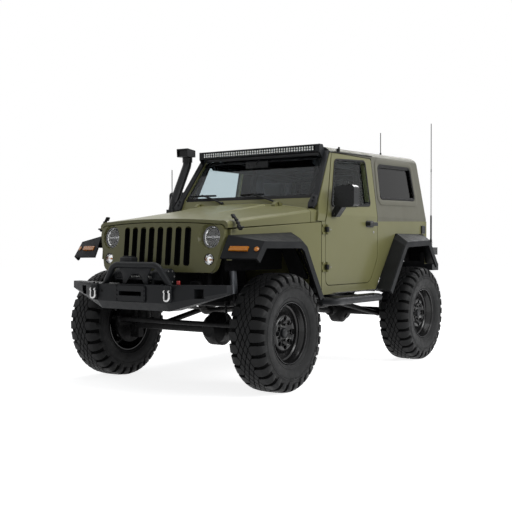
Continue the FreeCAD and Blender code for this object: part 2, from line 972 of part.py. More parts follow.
def rear_hubs():
    pieces = []
    for side in (1, -1):
        inner = half_track - brake_reach()
        hub_end = half_track + rim_disc_offset - hub_flange_gap
        drum = rod(point(rear_x, side * inner, hub_z), point(rear_x, side * (inner + brake_thickness * 2), hub_z),
                   brake_radius)
        spindle = rod(point(rear_x, side * inner, hub_z), point(rear_x, side * hub_end, hub_z), hub_radius)
        pieces += [drum, spindle]
    return pieces


# Suspension

def spring_low_z():
    return hub_z + knuckle_half_height + knuckle_ear + panel_gap


def tower_bottom_z(x):
    return rail_top_z(x) - spring_tower_depth


def rail_top_z(x):
    path = rail_path()
    for (x0, z0), (x1, z1) in zip(path, path[1:]):
        if x1 <= x <= x0:
            return between(x, x0, x1, z0, z1)
    return path[-1][1]


def make_springs():
    """Coil springs drawn as closed sleeves with one ridge for each coil."""
    pieces = []
    for x in (front_x, rear_x):
        low = spring_low_z() + spring_seat_gap
        high = tower_bottom_z(x) - spring_seat_gap
        pitch = (high - low) / coil_count
        profile = [(0, 0)]
        for index in range(coil_count):
            base = pitch * index
            profile += [(spring_radius * coil_root_share, base), (spring_radius, base + pitch * half)]
        profile += [(spring_radius * coil_root_share, high - low), (0, high - low)]
        for side in (1, -1):
            pieces.append(turned(profile, point(x, side * spring_y, low), point(0, 0, 1)))
    save("coil_springs", *pieces)


coil_count = 5
coil_root_share = 0.8


def shock_places():
    return (front_x, 1, shock_top_z), (rear_x, -1, shock_rear_top_z)


def shock_rim_rise(top_z):
    """Height of a leaning absorber's upper rim over the middle of its top."""
    lean = math.atan2(math.hypot(shock_offset, shock_radius), top_z - hub_z - axle_radius)
    return shock_radius * math.sin(lean)


def make_shocks():
    pieces = []
    for x, lean, top_z in shock_places():
        for side in (1, -1):
            low = point(x + lean * shock_offset, side * (shock_y - shock_radius), hub_z + axle_radius)
            top = point(x + lean * shock_offset * 2, side * shock_y, top_z)
            split = along(low, top, half)
            pieces.append(joined(rod(low, top, shock_rod_radius), rod(split, top, shock_radius)))
    save("shock_absorbers", *pieces)


def arm_places():
    return (front_x, arm_axle_y, arm_rail_x, arm_rail_y), (rear_x, arm_rear_axle_y, arm_rear_rail_x, rail_y)


def arms(end_x):
    """Trailing arms that tie this axle to the frame rails."""
    pieces = []
    for x, axle_y, rail_x, rail_end_y in arm_places():
        for side in (1, -1):
            axle_end = point(x - math.copysign(axle_radius * half, x), side * axle_y, hub_z - arm_drop)
            rail_end = point(rail_x + math.copysign(panel_gap, x), side * rail_end_y,
                             rail_mid_z - rail_height - arm_drop * 2)
            if x == end_x:
                pieces.append(rod(axle_end, rail_end, arm_radius))
    return pieces


# Frame

def rail_path():
    return [
        (rail_front_x, rail_front_z), (rail_kick_front_x, rail_front_z), (rail_kick_low_x, rail_mid_z),
        (rail_rear_low_x, rail_mid_z), (rail_rear_high_x, rail_mid_z + rail_rear_rise), (rail_rear_x, rail_tail_z),
    ]


def make_frame():
    path = rail_path()
    outline = path + [(x, z - rail_height) for x, z in reversed(path)]
    inner, outer = rail_y - rail_width * half, rail_y + rail_width * half
    rails = pair(side_plate(outline, inner, outer))
    members = []
    for x, drop in cross_members:
        top = rail_top_z(x) - drop
        members.append(box(x - crossmember_width * half, x + crossmember_width * half, -inner, inner,
                           top - crossmember_height, top))
    towers = []
    for x in (front_x, rear_x):
        for side in (1, -1):
            top = rail_top_z(x)
            towers.append(box(x - spring_tower_width * half, x + spring_tower_width * half, side * outer,
                              side * (spring_y + spring_radius), tower_bottom_z(x), top))
    for x, lean, top_z in shock_places():
        x += lean * shock_offset * 2
        for side in (1, -1):
            towers.append(box(x - shock_post * half, x + shock_post * half, side * rail_y, side * outer,
                              rail_top_z(x) - overrun, top_z + overrun + shock_cap))
            towers.append(box(x - shock_post * half, x + shock_post * half, side * rail_y,
                              side * (shock_y + shock_radius), top_z + shock_rim_rise(top_z) + lamp_gap,
                              top_z + overrun + shock_cap))
    for side in (1, -1):
        towers.append(box(radiator_x - radiator_depth, radiator_x, side * (radiator_half - rail_width * half), side * rail_y,
                          rail_front_z - overrun, radiator_bottom_z - lamp_gap))
    brackets = []
    for x, axle_y, rail_x, rail_end_y in arm_places():
        for side in (1, -1):
            bracket_y = outer if rail_end_y == rail_y else arm_rail_y - arm_radius
            brackets.append(box(rail_x - math.copysign(overrun, x), rail_x, side * inner, side * bracket_y,
                                rail_mid_z - rail_height - arm_drop * 2 - arm_radius, rail_mid_z - rail_height + overrun))
    save("frame_rails", joined(*rails, *members, *towers, *brackets))


# Each crossmember's place along the frame and how far its top lies below the rails' top
cross_members = ((1690.0, 25.0), (980.0, 75.0), (250.0, 104.0), (-660.0, 25.0), (-1480.0, 25.0))


# Body

def make_tub():
    """Open tub: sides, floors, firewall, cowl, rear corners, wheel housings and seat risers."""
    outline = [
        (cowl_split_x, sill_z(cowl_split_x)), (cowl_split_x, belt_z(cowl_split_x)),
        (tub_rear_x, belt_z(tub_rear_x)), (tub_rear_x, rear_sill_z),
        rear_arch_end, rear_arch_top_rear, rear_arch_top_front, (rear_arch_low[0], sill_z(rear_arch_low[0])),
    ]
    side = side_plate(outline, side_y - wall, side_y)
    side = side.cut(through_wall(door_opening(), door_opening_radii()))
    inner_y = side_y - wall
    cowl_rear_x = cowl_split_x - wall
    cowl_side = side_plate([
        (cowl_rear_x, floor_z), (cowl_rear_x, split_z(cowl_rear_x) + panel_gap),
        (cowl_front_x, split_z(cowl_front_x) + panel_gap), (cowl_front_x, floor_z),
    ], fender_y(cowl_front_x) - skin * 2 - lamp_gap, fender_y(cowl_front_x) - skin - lamp_gap)
    pieces = [
        box(cowl_front_x - skin, cowl_front_x, -hood_rear_half + skin, hood_rear_half - skin, floor_z, hood_rear_split_z),
        hood_shell(cowl_rear_x, cowl_front_x, skin),
        hood_face(cowl_front_x - skin, cowl_front_x),
        box(cargo_step_x, cowl_front_x, -inner_y, inner_y, floor_z, floor_z + floor_thickness),
        box(cargo_step_x, cargo_step_x + floor_thickness, -inner_y, inner_y, floor_z, cargo_floor_z + floor_thickness),
    ] + pair(side) + pair(cowl_side)
    cargo = box(tub_rear_x + wall, cargo_step_x + floor_thickness, -inner_y, inner_y, cargo_floor_z,
                cargo_floor_z + floor_thickness)
    house_front, house_rear = house_front_x, tub_rear_x + wall
    house_top = rear_arch_top_front[1] + floor_thickness
    for sign in (1, -1):
        house = box(house_front, house_rear, sign * wheelhouse_y, sign * inner_y, cargo_floor_z, house_top)
        room = box(house_front - floor_thickness, house_rear + floor_thickness,
                   sign * (wheelhouse_y + floor_thickness), sign * (inner_y + overrun),
                   cargo_floor_z - overrun, house_top - floor_thickness)
        cargo = cargo.cut(room)
        pieces.append(house.cut(room))
        pieces.append(box(tub_rear_x, tub_rear_x + wall, sign * rear_corner_y, sign * side_y, rear_sill_z,
                          belt_z(tub_rear_x + wall)))
        pieces.append(box(seat_rear_x, seat_front_x - seat_round, sign * seat_y - seat_half + seat_rail_width,
                          sign * seat_y + seat_half - seat_rail_width, floor_z + floor_thickness * half,
                          seat_bottom_z - seat_gap))
    pieces.append(cargo)
    pieces.append(box(tub_rear_x, tub_rear_x + wall, -side_y, side_y, rear_sill_z - floor_thickness,
                      tailgate_bottom_z - panel_gap))
    save("body_tub", joined(*pieces))


house_front_x = -690.0


def hood_face(x0, x1):
    """Upright wall that fills the hood section between two stations."""
    return Part.makeLoft([hood_section(x0), hood_section(x1)], True, True)


def grille_back_x(z):
    """Line just behind the edge of the leaning grille."""
    lean = math.tan(math.radians(grille_lean_deg))
    return grille_edge_x - grille_thickness - lamp_gap - (z - grille_bottom_z) * lean


def make_fenders():
    outline = [
        (cowl_split_x + panel_gap * half, sill_front_z), (cowl_split_x + panel_gap * half, belt_front_z - fender_top_gap),
        (hood_rear_x, hood_rear_split_z - fender_top_gap), (grille_back_x(hood_front_split_z), hood_front_split_z - fender_top_gap),
        (grille_back_x(fender_bottom_z), fender_bottom_z), (grille_back_x(fender_bottom_z) - arch_lip, fender_bottom_z),
        (front_flare_inner[3][0] - arch_lip, front_flare_inner[3][1] - arch_lip),
        (front_flare_inner[2][0] + arch_lip * half, front_flare_inner[2][1] - arch_lip),
        (front_flare_inner[1][0] + arch_lip, front_flare_inner[1][1] - arch_lip),
        (front_flare_inner[0][0] + arch_lip, sill_front_z),
    ]
    x0, x1 = cowl_split_x - overrun, fender_front_x + overrun
    plan = [(x0, fender_y(x0)), (x1, fender_y(x1)), (x1, fender_y(x1) - skin), (x0, fender_y(x0) - skin)]
    sheet = floor_plate(plan, sill_front_z - overrun, belt_front_z + overrun)
    panel = sheet.common(side_plate(outline, 0, side_y + overrun))
    save("front_fenders", *pair(panel))


def make_liners():
    """Dark inner fenders: an upright wall beside the engine and a roof over the tyre."""
    foot_x = cowl_front_x + panel_gap * 2
    knee_x, knee = front_flare_inner[1][0] + arch_lip, front_flare_inner[1][1] - arch_lip * 2
    path = [
        (foot_x, between(foot_x, front_flare_inner[0][0] + arch_lip * 2, knee_x, sill_front_z + overrun, knee)),
        (knee_x, knee),
        (front_flare_inner[2][0] + arch_lip, front_flare_inner[2][1] - arch_lip * 2),
        (front_flare_inner[3][0] - arch_lip, front_flare_inner[3][1] - arch_lip * 2),
    ]
    roof = side_plate(band(path, liner_thickness), liner_y, side_y)
    x0, x1 = path[0][0] - overrun, path[3][0] + overrun
    plan = [(x0, 0), (x1, 0), (x1, fender_y(x1) - skin - lamp_gap), (x0, fender_y(x0) - skin - lamp_gap)]
    roof = roof.common(floor_plate(plan, sill_front_z, belt_front_z))
    upright = box(path[1][0], path[3][0], liner_y, liner_y + liner_thickness, liner_bottom_z, path[3][1])
    save("inner_fenders", *pair(joined(roof, upright)))


def flare(inner, outer, inner_y, outer_y):
    """Flat-topped flare from a body line to an outer line, with a turned-down lip."""
    inner_band = band(inner, flare_thickness)
    outer_band = band(outer, flare_thickness)
    skirt = Part.makeLoft([
        rounded_wire([point(x, inner_y(x), z) for x, z in inner_band]),
        rounded_wire([point(x, outer_y(x), z) for x, z in outer_band]),
    ], True, True)
    lip_band = band(outer, flare_lip)
    lip_wire = rounded_wire([point(x, outer_y(x) - flare_lip_thickness, z) for x, z in lip_band])
    lip = solid_of(lip_wire, point(0, flare_lip_thickness, 0))
    return joined(skirt, lip)


def front_flare():
    def nose_y(x):
        return between(x, front_flare_outer[0][0], front_flare_outer[4][0], flare_front_rear_y, flare_front_nose_y)

    return flare(front_flare_inner, front_flare_outer, fender_y, nose_y)


def make_flares():
    def rear_outer_y(x):
        return flare_rear_y

    def rear_inner_y(x):
        return side_y + lamp_gap

    front = front_flare()
    rear = flare(mirrored_path(rear_flare_inner), mirrored_path(rear_flare_outer), rear_inner_y, rear_outer_y)
    save("fender_flares", *pair(front), *pair(rear))


def mirrored_path(path):
    """The rear path runs from the front to the back, so it is turned round to put the strip below it."""
    return tuple(reversed(path))


def grille_arc(thickness, inset_front):
    """Upright band bowed in plan, from the grille's front face back by its thickness."""
    front, edge = grille_centre_x - inset_front, grille_edge_x - inset_front
    z0, z1 = grille_bottom_z - overrun, grille_top_z + overrun
    near = Part.Arc(point(edge, -grille_half, z0), point(front, 0, z0), point(edge, grille_half, z0))
    far = Part.Arc(point(edge - thickness, grille_half, z0), point(front - thickness, 0, z0),
                   point(edge - thickness, -grille_half, z0))
    ends = [
        Part.makeLine(point(edge, side * grille_half, z0), point(edge - thickness, side * grille_half, z0))
        for side in (1, -1)
    ]
    wire = Part.Wire([near.toShape(), ends[0], far.toShape(), ends[1]])
    return solid_of(wire, point(0, 0, z1 - z0))


def grille_outline():
    return [
        (-grille_bottom_half, grille_bottom_z), (-grille_half, grille_waist_z), (-grille_top_half, grille_top_z),
        (grille_top_half, grille_top_z), (grille_half, grille_waist_z), (grille_bottom_half, grille_bottom_z),
    ]


def grille_leaned(shape):
    return turned_by(shape, point(grille_edge_x, 0, grille_bottom_z), point(0, 1, 0), -grille_lean_deg)


def make_grille():
    plate = grille_arc(grille_thickness, 0)
    radii = [grille_bottom_round, 0, grille_top_round, grille_top_round, 0, grille_bottom_round]
    x0, x1 = grille_edge_x - grille_thickness - overrun, grille_centre_x + overrun
    plate = plate.common(front_plate(grille_outline(), x0, x1, radii))
    holes = []
    for index in range(slot_count):
        y = (index - (slot_count - 1) * half) * slot_pitch
        slot = [
            (y - slot_width * half, slot_bottom_z), (y + slot_width * half, slot_bottom_z),
            (y + slot_width * half, slot_top_z), (y - slot_width * half, slot_top_z),
        ]
        holes.append(front_plate(slot, x0, x1, slot_width * slot_round_share))
    for side in (1, -1):
        for y, z, radius in ((headlamp_y, headlamp_z, headlamp_radius), (turn_lamp_y, turn_lamp_z, turn_lamp_radius)):
            holes.append(rod(point(x0, side * y, z), point(x1, side * y, z), radius + lamp_gap))
        holes.append(Part.makeCone(headlamp_radius, headlamp_recess, overrun * 2,
                                   point(lamp_face_x() - overrun, side * headlamp_y, headlamp_z), point(1, 0, 0)))
    panel = grille_leaned(plate.cut(Part.makeCompound(holes)))
    lid_z = hood_front_split_z - panel_gap
    lid = box(x0 - grille_thickness * 2, x1, -grille_half - overrun, grille_half + overrun, lid_z,
              grille_top_z + overrun * 2)
    under_hood = Part.makeLoft([
        hood_section(x0 - grille_thickness * 3, hood_skin + panel_gap, lid_z - overrun),
        hood_section(x1 + overrun, hood_skin + panel_gap, lid_z - overrun),
    ], True, True)
    save("grille_panel", panel.cut(lid.cut(under_hood)))


slot_round_share = 0.45


def lamp_face_x():
    return between(headlamp_y, 0, grille_half, grille_centre_x, grille_edge_x)


def make_lamps():
    heads, turns = [], []
    for side in (1, -1):
        face = lamp_face_x() - overrun * half
        bowl = turned([
            (0, 0), (headlamp_radius * half, 0), (headlamp_radius, headlamp_depth * half),
            (headlamp_radius, headlamp_depth), (headlamp_radius * half, headlamp_depth + lens_bow),
            (0, headlamp_depth + lens_bow * lens_centre_share),
        ], point(face - headlamp_depth, side * headlamp_y, headlamp_z), point(1, 0, 0))
        heads.append(grille_leaned(bowl))
        lens = turned([
            (0, 0), (turn_lamp_radius, 0), (turn_lamp_radius, headlamp_depth * half),
            (0, headlamp_depth * half + lens_bow),
        ], point(face - headlamp_depth * half, side * turn_lamp_y, turn_lamp_z), point(1, 0, 0))
        turns.append(grille_leaned(lens))
    save("headlamps", *heads)
    markers = turns
    inner, outer = front_flare_inner[4], front_flare_outer[4]
    knee_inner, knee_outer = front_flare_inner[3], front_flare_outer[3]
    for side in (1, -1):
        lows = [point(inner[0], fender_y(inner[0]), inner[1]), point(outer[0], flare_front_nose_y, outer[1])]
        tops = [point(knee_inner[0], fender_y(knee_inner[0]), knee_inner[1]),
                point(knee_outer[0], flare_front_nose_y, knee_outer[1])]
        centre = along(along(lows[0], lows[1], lamp_place_share), along(tops[0], tops[1], lamp_place_share), lamp_rise_share)
        across = lows[1] - lows[0]
        across.normalize()
        up = tops[1] - lows[1]
        up.normalize()
        out = across.cross(up)
        out.normalize()
        if out.x < 0:
            out = out * -1
        a = across * (flare_lamp_width * half)
        b = up * (flare_lamp_height * half)
        base = centre - out * flare_lamp_depth
        lamp = solid_of(rounded_wire([base - a - b, base + a - b, base + a + b, base - a + b]), out * (flare_lamp_depth * 2))
        lamp = lamp.cut(front_flare())
        markers.append(lamp if side > 0 else mirrored(lamp))
    save("marker_lamps", *markers)


lens_bow = 9.0
lens_centre_share = 1.2
lamp_place_share = 0.42
lamp_rise_share = 0.45


def make_hood():
    shell = hood_shell(hood_rear_x, hood_front_x + overrun, hood_skin)
    bulge_faces = []
    for x, half_width, share in ((bulge_rear_x, bulge_rear_half, 0), (bulge_front_x, bulge_front_half, 1)):
        centre = between(x, hood_rear_x, hood_front_x, hood_rear_centre_z, hood_front_centre_z)
        edge_drop = bulge_drop_share * half_width
        top = centre + bulge_height * (1 - share) + panel_gap * share
        bulge_faces.append(rounded_wire([
            point(x, half_width + bulge_slope, centre - edge_drop - hood_skin * half),
            point(x, half_width, top - edge_drop),
            point(x, -half_width, top - edge_drop),
            point(x, -half_width - bulge_slope, centre - edge_drop - hood_skin * half),
        ]))
    bulge = Part.makeLoft(bulge_faces, True, True)
    leaves = pair(hood_hinge_leaf_block())
    skinned = joined(shell, bulge).common(hood_reach())
    save("hood", joined(skinned, *leaves))


def hood_hinge_leaf_block():
    """Moving half of the left hood hinge: a barrel on the pin line and a foot on the hood."""
    low, high = hood_hinge_y - hood_hinge_half, hood_hinge_y + hood_hinge_half
    barrel = rod(point(hood_hinge_x, low, hood_hinge_z), point(hood_hinge_x, high, hood_hinge_z), hood_hinge_radius)
    foot = side_plate([
        (hood_hinge_x, hood_hinge_z + hood_hinge_radius), (hood_hinge_x, hood_hinge_z),
        (hood_rear_x, hood_hinge_z - hood_hinge_radius), (hood_rear_x, hood_rear_shoulder_z),
        (hood_rear_x + hood_hinge_leaf, hood_rear_shoulder_z), (hood_rear_x + hood_hinge_leaf, hood_hinge_z - overrun),
    ], low, high)
    inside = hood_face(hood_rear_x - overrun, hood_rear_x + hood_hinge_leaf + overrun)
    shell_room = hood_shell(hood_rear_x, hood_rear_x + hood_hinge_leaf + overrun, hood_skin * half)
    return joined(barrel, foot.cut(inside.cut(shell_room)))


def hood_ears():
    """Fixed ears of the hood hinges, standing on the cowl on each side of a barrel."""
    cowl = hood_face(cowl_split_x, hood_rear_x)
    ears = []
    for y in (hood_hinge_y - hood_hinge_half - knuckle_gap - hood_hinge_ear, hood_hinge_y + hood_hinge_half + knuckle_gap):
        pin = rod(point(hood_hinge_x, y, hood_hinge_z), point(hood_hinge_x, y + hood_hinge_ear, hood_hinge_z),
                  hood_hinge_radius)
        leg = side_plate([
            (hood_hinge_x, hood_hinge_z), (hood_hinge_x, hood_rear_shoulder_z),
            (hood_hinge_x - hood_hinge_leaf, hood_rear_shoulder_z),
            (hood_hinge_x - hood_hinge_leaf, hood_hinge_z - hood_hinge_radius), (hood_hinge_x, hood_hinge_z + hood_hinge_radius),
        ], y, y + hood_hinge_ear)
        ears.append(joined(pin, leg.cut(cowl)))
    return [piece for ear in ears for piece in pair(ear)]


bulge_drop_share = 0.06


def hood_reach():
    """Room that the hood may fill: back from the bowed line over the grille's top."""
    z0, z1 = hood_front_split_z - grille_thickness, hood_rear_centre_z + overrun * 4
    front, edge = hood_front_x, hood_front_x - (grille_centre_x - grille_edge_x)
    wire = Part.Wire([
        Part.Arc(point(edge, -grille_half, z0), point(front, 0, z0), point(edge, grille_half, z0)).toShape(),
        Part.makeLine(point(edge, grille_half, z0), point(edge, side_y, z0)),
        Part.makeLine(point(edge, side_y, z0), point(hood_rear_x, side_y, z0)),
        Part.makeLine(point(hood_rear_x, side_y, z0), point(hood_rear_x, -side_y, z0)),
        Part.makeLine(point(hood_rear_x, -side_y, z0), point(edge, -side_y, z0)),
        Part.makeLine(point(edge, -side_y, z0), point(edge, -grille_half, z0)),
    ])
    return solid_of(wire, point(0, 0, z1 - z0))


# Windscreen, hard top and windows

def screen_leaned(shape):
    """Lean an upright plate at X = 0 and Z = 0 back onto the windscreen's foot."""
    copy = turned_by(shape, point(0, 0, 0), point(0, 1, 0), -screen_lean_deg)
    return moved(copy, point(screen_foot_x, 0, screen_foot_z))


def screen_hole(gap=0):
    low, top = screen_sill, screen_height - screen_head
    low_half = between(low, 0, screen_height, screen_foot_half, screen_top_half) - screen_post
    top_half = between(top, 0, screen_height, screen_foot_half, screen_top_half) - screen_post
    return inset([(-low_half, low), (low_half, low), (top_half, top), (-top_half, top)], gap)


def make_windscreen():
    outline = [
        (-screen_foot_half, 0), (screen_foot_half, 0), (screen_top_half, screen_height),
        (screen_crown_y, screen_height + screen_crown), (0, screen_height + screen_crown_top),
        (-screen_crown_y, screen_height + screen_crown), (-screen_top_half, screen_height),
    ]
    plate = front_plate(outline, -screen_thickness, 0)
    plate = plate.cut(front_plate(screen_hole(), -screen_thickness - overrun, overrun, window_corner))
    plate = screen_leaned(plate)
    slope = math.tan(math.radians(screen_lean_deg))
    reach = screen_height * math.cos(math.radians(screen_lean_deg))
    top_x = screen_foot_x - reach * slope
    cheek = [
        (door_front_x + panel_gap, belt_z(door_front_x) + screen_foot_gap), (door_top_front_x + panel_gap, door_top_z),
        (top_x, screen_foot_z + reach),
        (screen_foot_x, screen_foot_z), (screen_foot_x + screen_thickness, belt_z(door_front_x) + screen_foot_gap),
    ]
    cheeks = pair(on_wall(cheek, screen_post * cheek_share))
    tub_room = hood_face(door_front_x - overrun, cowl_front_x)
    doorways = side_plate(door_opening(), screen_top_half - screen_post, side_y + overrun)
    frame = joined(plate, *cheeks).cut(tub_room).cut(Part.makeCompound(pair(doorways))).cut(hard_top())
    save("windscreen_frame", frame)
    glass = front_plate(screen_hole(lamp_gap), -screen_glass_inset - glass_thickness, -screen_glass_inset, window_corner)
    save("windscreen_glass", screen_leaned(glass))


cheek_share = 0.8


def roof_section(x, shrink=0):
    """Closed section of the hard top: leaning sides, rounded gutters and a crowned roof."""
    gutter = between(x, roof_front_x, roof_rear_x, roof_front_gutter_z, roof_rear_gutter_z)
    crown = between(x, roof_front_x, roof_rear_x, roof_front_z, roof_rear_z) - shrink
    low = belt_front_z - (overrun if shrink else 0)
    foot = side_y - shrink
    knee = point(x, foot, knee_z)
    eave = point(x, wall_y(gutter) - shrink, gutter - shrink * half)
    top = point(x, roof_edge_half - roof_edge_drop - shrink * half, crown - roof_edge_drop * eave_share)
    bow = point(x, (eave.y + top.y) * half + roof_edge_drop * bow_share, (eave.z + top.z) * half + roof_edge_drop * bow_share)
    flip = [point(x, -p.y, p.z) for p in (knee, eave, bow, top)]
    edges = [
        Part.makeLine(point(x, foot, low), knee), Part.makeLine(knee, eave),
        Part.Arc(eave, bow, top).toShape(), Part.Arc(top, point(x, 0, crown), flip[3]).toShape(),
        Part.Arc(flip[3], flip[2], flip[1]).toShape(), Part.makeLine(flip[1], flip[0]),
        Part.makeLine(flip[0], point(x, -foot, low)), Part.makeLine(point(x, -foot, low), point(x, foot, low)),
    ]
    return Part.Wire(edges)


eave_share = 0.36


def roof_side(shrink=0):
    """Side outline of the hard top above the belt, with its rounded rear corner."""
    rear, front = roof_rear_x + shrink, roof_front_x
    top = roof_rear_z + overrun
    outline = [
        (front + overrun, belt_front_z), (front + overrun, top), (rear + roof_rear_lean, roof_rear_z - shrink),
        (rear, belt_z(roof_rear_x)), (rear, belt_front_z),
    ]
    outline[1] = (front + overrun, between(front + overrun, rear, front, roof_rear_z, roof_rear_z) + overrun - shrink)
    return side_plate(outline, -side_y - overrun, side_y + overrun, [0, 0, roof_rear_round - shrink, 0, 0])


def hard_top():
    outer = Part.makeLoft([roof_section(roof_rear_x - overrun), roof_section(roof_front_x)], True, True)
    outer = outer.common(roof_side())
    hollow = Part.makeLoft([roof_section(roof_rear_x - overrun, roof_shell), roof_section(roof_front_x + overrun, roof_shell)],
                           True, True)
    hollow = hollow.common(roof_side(roof_shell))
    shell = outer.cut(hollow)
    low = belt_front_z - overrun * 2
    doorway = [
        (roof_front_x + overrun * 2, low), (roof_front_x + overrun * 2, door_top_z), (door_top_rear_x, door_top_z),
        (door_rear_x, belt_z(door_rear_x)), (door_rear_x, low),
    ]
    across = side_plate(doorway, -side_y - overrun, side_y + overrun)
    below_belt = side_plate([
        (roof_front_x, low - overrun), (roof_front_x, belt_z(roof_front_x) + lamp_gap),
        (roof_rear_x - overrun, belt_z(roof_rear_x - overrun) + lamp_gap), (roof_rear_x - overrun, low - overrun),
    ], -side_y - overrun, side_y + overrun)
    shell = shell.cut(Part.makeCompound([across])).cut(below_belt)
    quarters = side_plate(quarter_outline(), -side_y - overrun, side_y + overrun, window_corner)
    shell = shell.cut(quarters)
    shell = shell.cut(front_plate(rear_glass(), roof_rear_x - overrun, roof_rear_x + roof_rear_lean + wall + overrun, window_corner))
    return shell


def make_hard_top():
    save("hard_top", hard_top())
    panes = []
    pane = on_wall_sheet(inset(quarter_outline(), lamp_gap), roof_shell * half, glass_thickness)
    panes += pair(pane)
    gap_glass = inset(rear_glass(), lamp_gap)
    slab = front_plate(gap_glass, roof_rear_x - overrun, roof_rear_x + roof_rear_lean + wall + overrun, window_corner)
    sheet_outline = [
        (roof_rear_x + roof_shell * half, belt_z(roof_rear_x)),
        (roof_rear_x + roof_rear_lean + roof_shell * half, roof_rear_z),
        (roof_rear_x + roof_rear_lean + roof_shell * half + glass_thickness, roof_rear_z),
        (roof_rear_x + roof_shell * half + glass_thickness, belt_z(roof_rear_x)),
    ]
    panes.append(slab.common(side_plate(sheet_outline, -side_y, side_y)))
    save("hard_top_windows", *panes)


def rear_glass():
    return [(-rear_glass_half, rear_glass_bottom_z), (rear_glass_half, rear_glass_bottom_z),
            (rear_glass_half, rear_glass_top_z), (-rear_glass_half, rear_glass_top_z)]


def on_wall_sheet(outline, depth, thickness):
    """Pane that follows the body side at a depth below its outer face."""
    whole = on_wall(outline, depth + thickness, window_corner)
    return whole.cut(on_wall([(x, z) for x, z in grown(outline)], depth))


def grown(outline):
    return inset(outline, -overrun)


# Doors

def make_doors():
    opening = door_opening()
    leaf = on_wall(inset(opening, panel_gap), wall, door_opening_radii())
    leaf = leaf.cut(through_wall(window_outline(), window_corner)).cut(shut_wedges())
    pane = on_wall_sheet(inset(window_outline(), lamp_gap), wall * half, glass_thickness)
    for name, flip in (("left", False), ("right", True)):
        for node, shapes in (("door_", [leaf]), ("door_glass_", [pane]),
                             ("door_fittings_", door_fittings() + [mirror()])):
            save(node + name, *[mirrored(shape) if flip else shape for shape in shapes])


def shut_wedges():
    """Wedges that taper the door's rear edge inwards, so that it swings clear of the body."""
    rear = door_rear_x + panel_gap
    belt = belt_z(door_rear_x)
    top_x = door_top_rear_x + panel_gap
    foot = [point(rear, side_y, door_curve_z), point(rear, side_y, belt)]
    head = [point(rear, side_y, belt), point(top_x, wall_y(door_top_z), door_top_z)]
    inward = point(wall * shut_taper_share, -wall, 0) * 2
    back = point(-overrun * 2, 0, 0)
    wedges = []
    for low, high in (foot, head):
        face = rounded_wire([low, high, high + inward, low + inward])
        wedges.append(solid_of(face, back))
    return Part.makeCompound(wedges)


shut_taper_share = 0.22


def door_fittings():
    pieces = []
    for z in (door_hinge_upper_z, door_hinge_lower_z):
        barrel_half = door_hinge_height * barrel_share * half
        barrel = rod(point(door_front_x, door_hinge_y, z - barrel_half), point(door_front_x, door_hinge_y, z + barrel_half),
                     hinge_barrel_radius)
        strap = box(door_front_x - door_hinge_strap, door_front_x - hinge_barrel_radius * half, side_y + lamp_gap,
                    side_y + lamp_gap + hinge_leaf, z - barrel_half, z + barrel_half)
        web = box(door_front_x - hinge_barrel_radius, door_front_x, side_y + lamp_gap, door_hinge_y,
                  z - barrel_half, z + barrel_half)
        pieces.append(joined(barrel, strap, web))
    rear, front = door_handle_x - door_handle_length * half, door_handle_x + door_handle_length * half
    grip = bar_outline(rear, front)
    handle = floor_plate(grip, door_handle_z - door_handle_height * half, door_handle_z + door_handle_height * half)
    pieces.append(handle)
    return pieces


barrel_share = 0.5


def bar_outline(rear, front):
    """Plan of a pull handle: two feet on the door and a bar that stands off it."""
    y0, y1 = side_y + lamp_gap, side_y + door_handle_reach
    foot = door_handle_height
    return [
        (rear, y0), (rear, y1), (front, y1), (front, y0), (front - foot, y0),
        (front - foot, y1 - hinge_barrel_radius), (rear + foot, y1 - hinge_barrel_radius), (rear + foot, y0),
    ]


def mirror():
    """Door mirror: a rounded head on an arm from the foot of the window."""
    x0, x1 = mirror_front_x - mirror_depth, mirror_front_x
    outline = [(mirror_inner_y, mirror_bottom_z), (mirror_outer_y, mirror_bottom_z),
               (mirror_outer_y, mirror_top_z), (mirror_inner_y, mirror_top_z)]
    head = front_plate(outline, x0, x1, mirror_corner)
    foot_z = mirror_bottom_z - mirror_arm_height * 2
    arm = front_plate([
        (side_y + lamp_gap, foot_z), (side_y + mirror_arm_height, foot_z),
        (mirror_inner_y + mirror_arm_height * 2, mirror_bottom_z + hinge_leaf), (mirror_inner_y, mirror_bottom_z + hinge_leaf),
        (side_y + lamp_gap, foot_z + mirror_arm_height),
    ], x0 + hinge_leaf, x1 - hinge_leaf)
    return joined(head, arm)


def door_ears():
    """Fixed ears of the door hinges, above and below each door barrel."""
    ears = []
    for z in (door_hinge_upper_z, door_hinge_lower_z):
        barrel_half = door_hinge_height * barrel_share * half + knuckle_gap
        end = door_hinge_height * half
        for low, high in ((z - end, z - barrel_half), (z + barrel_half, z + end)):
            ear = rod(point(door_front_x, door_hinge_y, low), point(door_front_x, door_hinge_y, high), hinge_barrel_radius)
            leaf = box(door_front_x, cowl_split_x - panel_gap, side_y + lamp_gap, side_y + lamp_gap + hinge_leaf, low, high)
            web = box(door_front_x, door_front_x + hinge_barrel_radius, side_y + lamp_gap, door_hinge_y, low, high)
            ears.append(joined(ear, leaf, web))
    return [piece for ear in ears for piece in pair(ear)]


# Tailgate

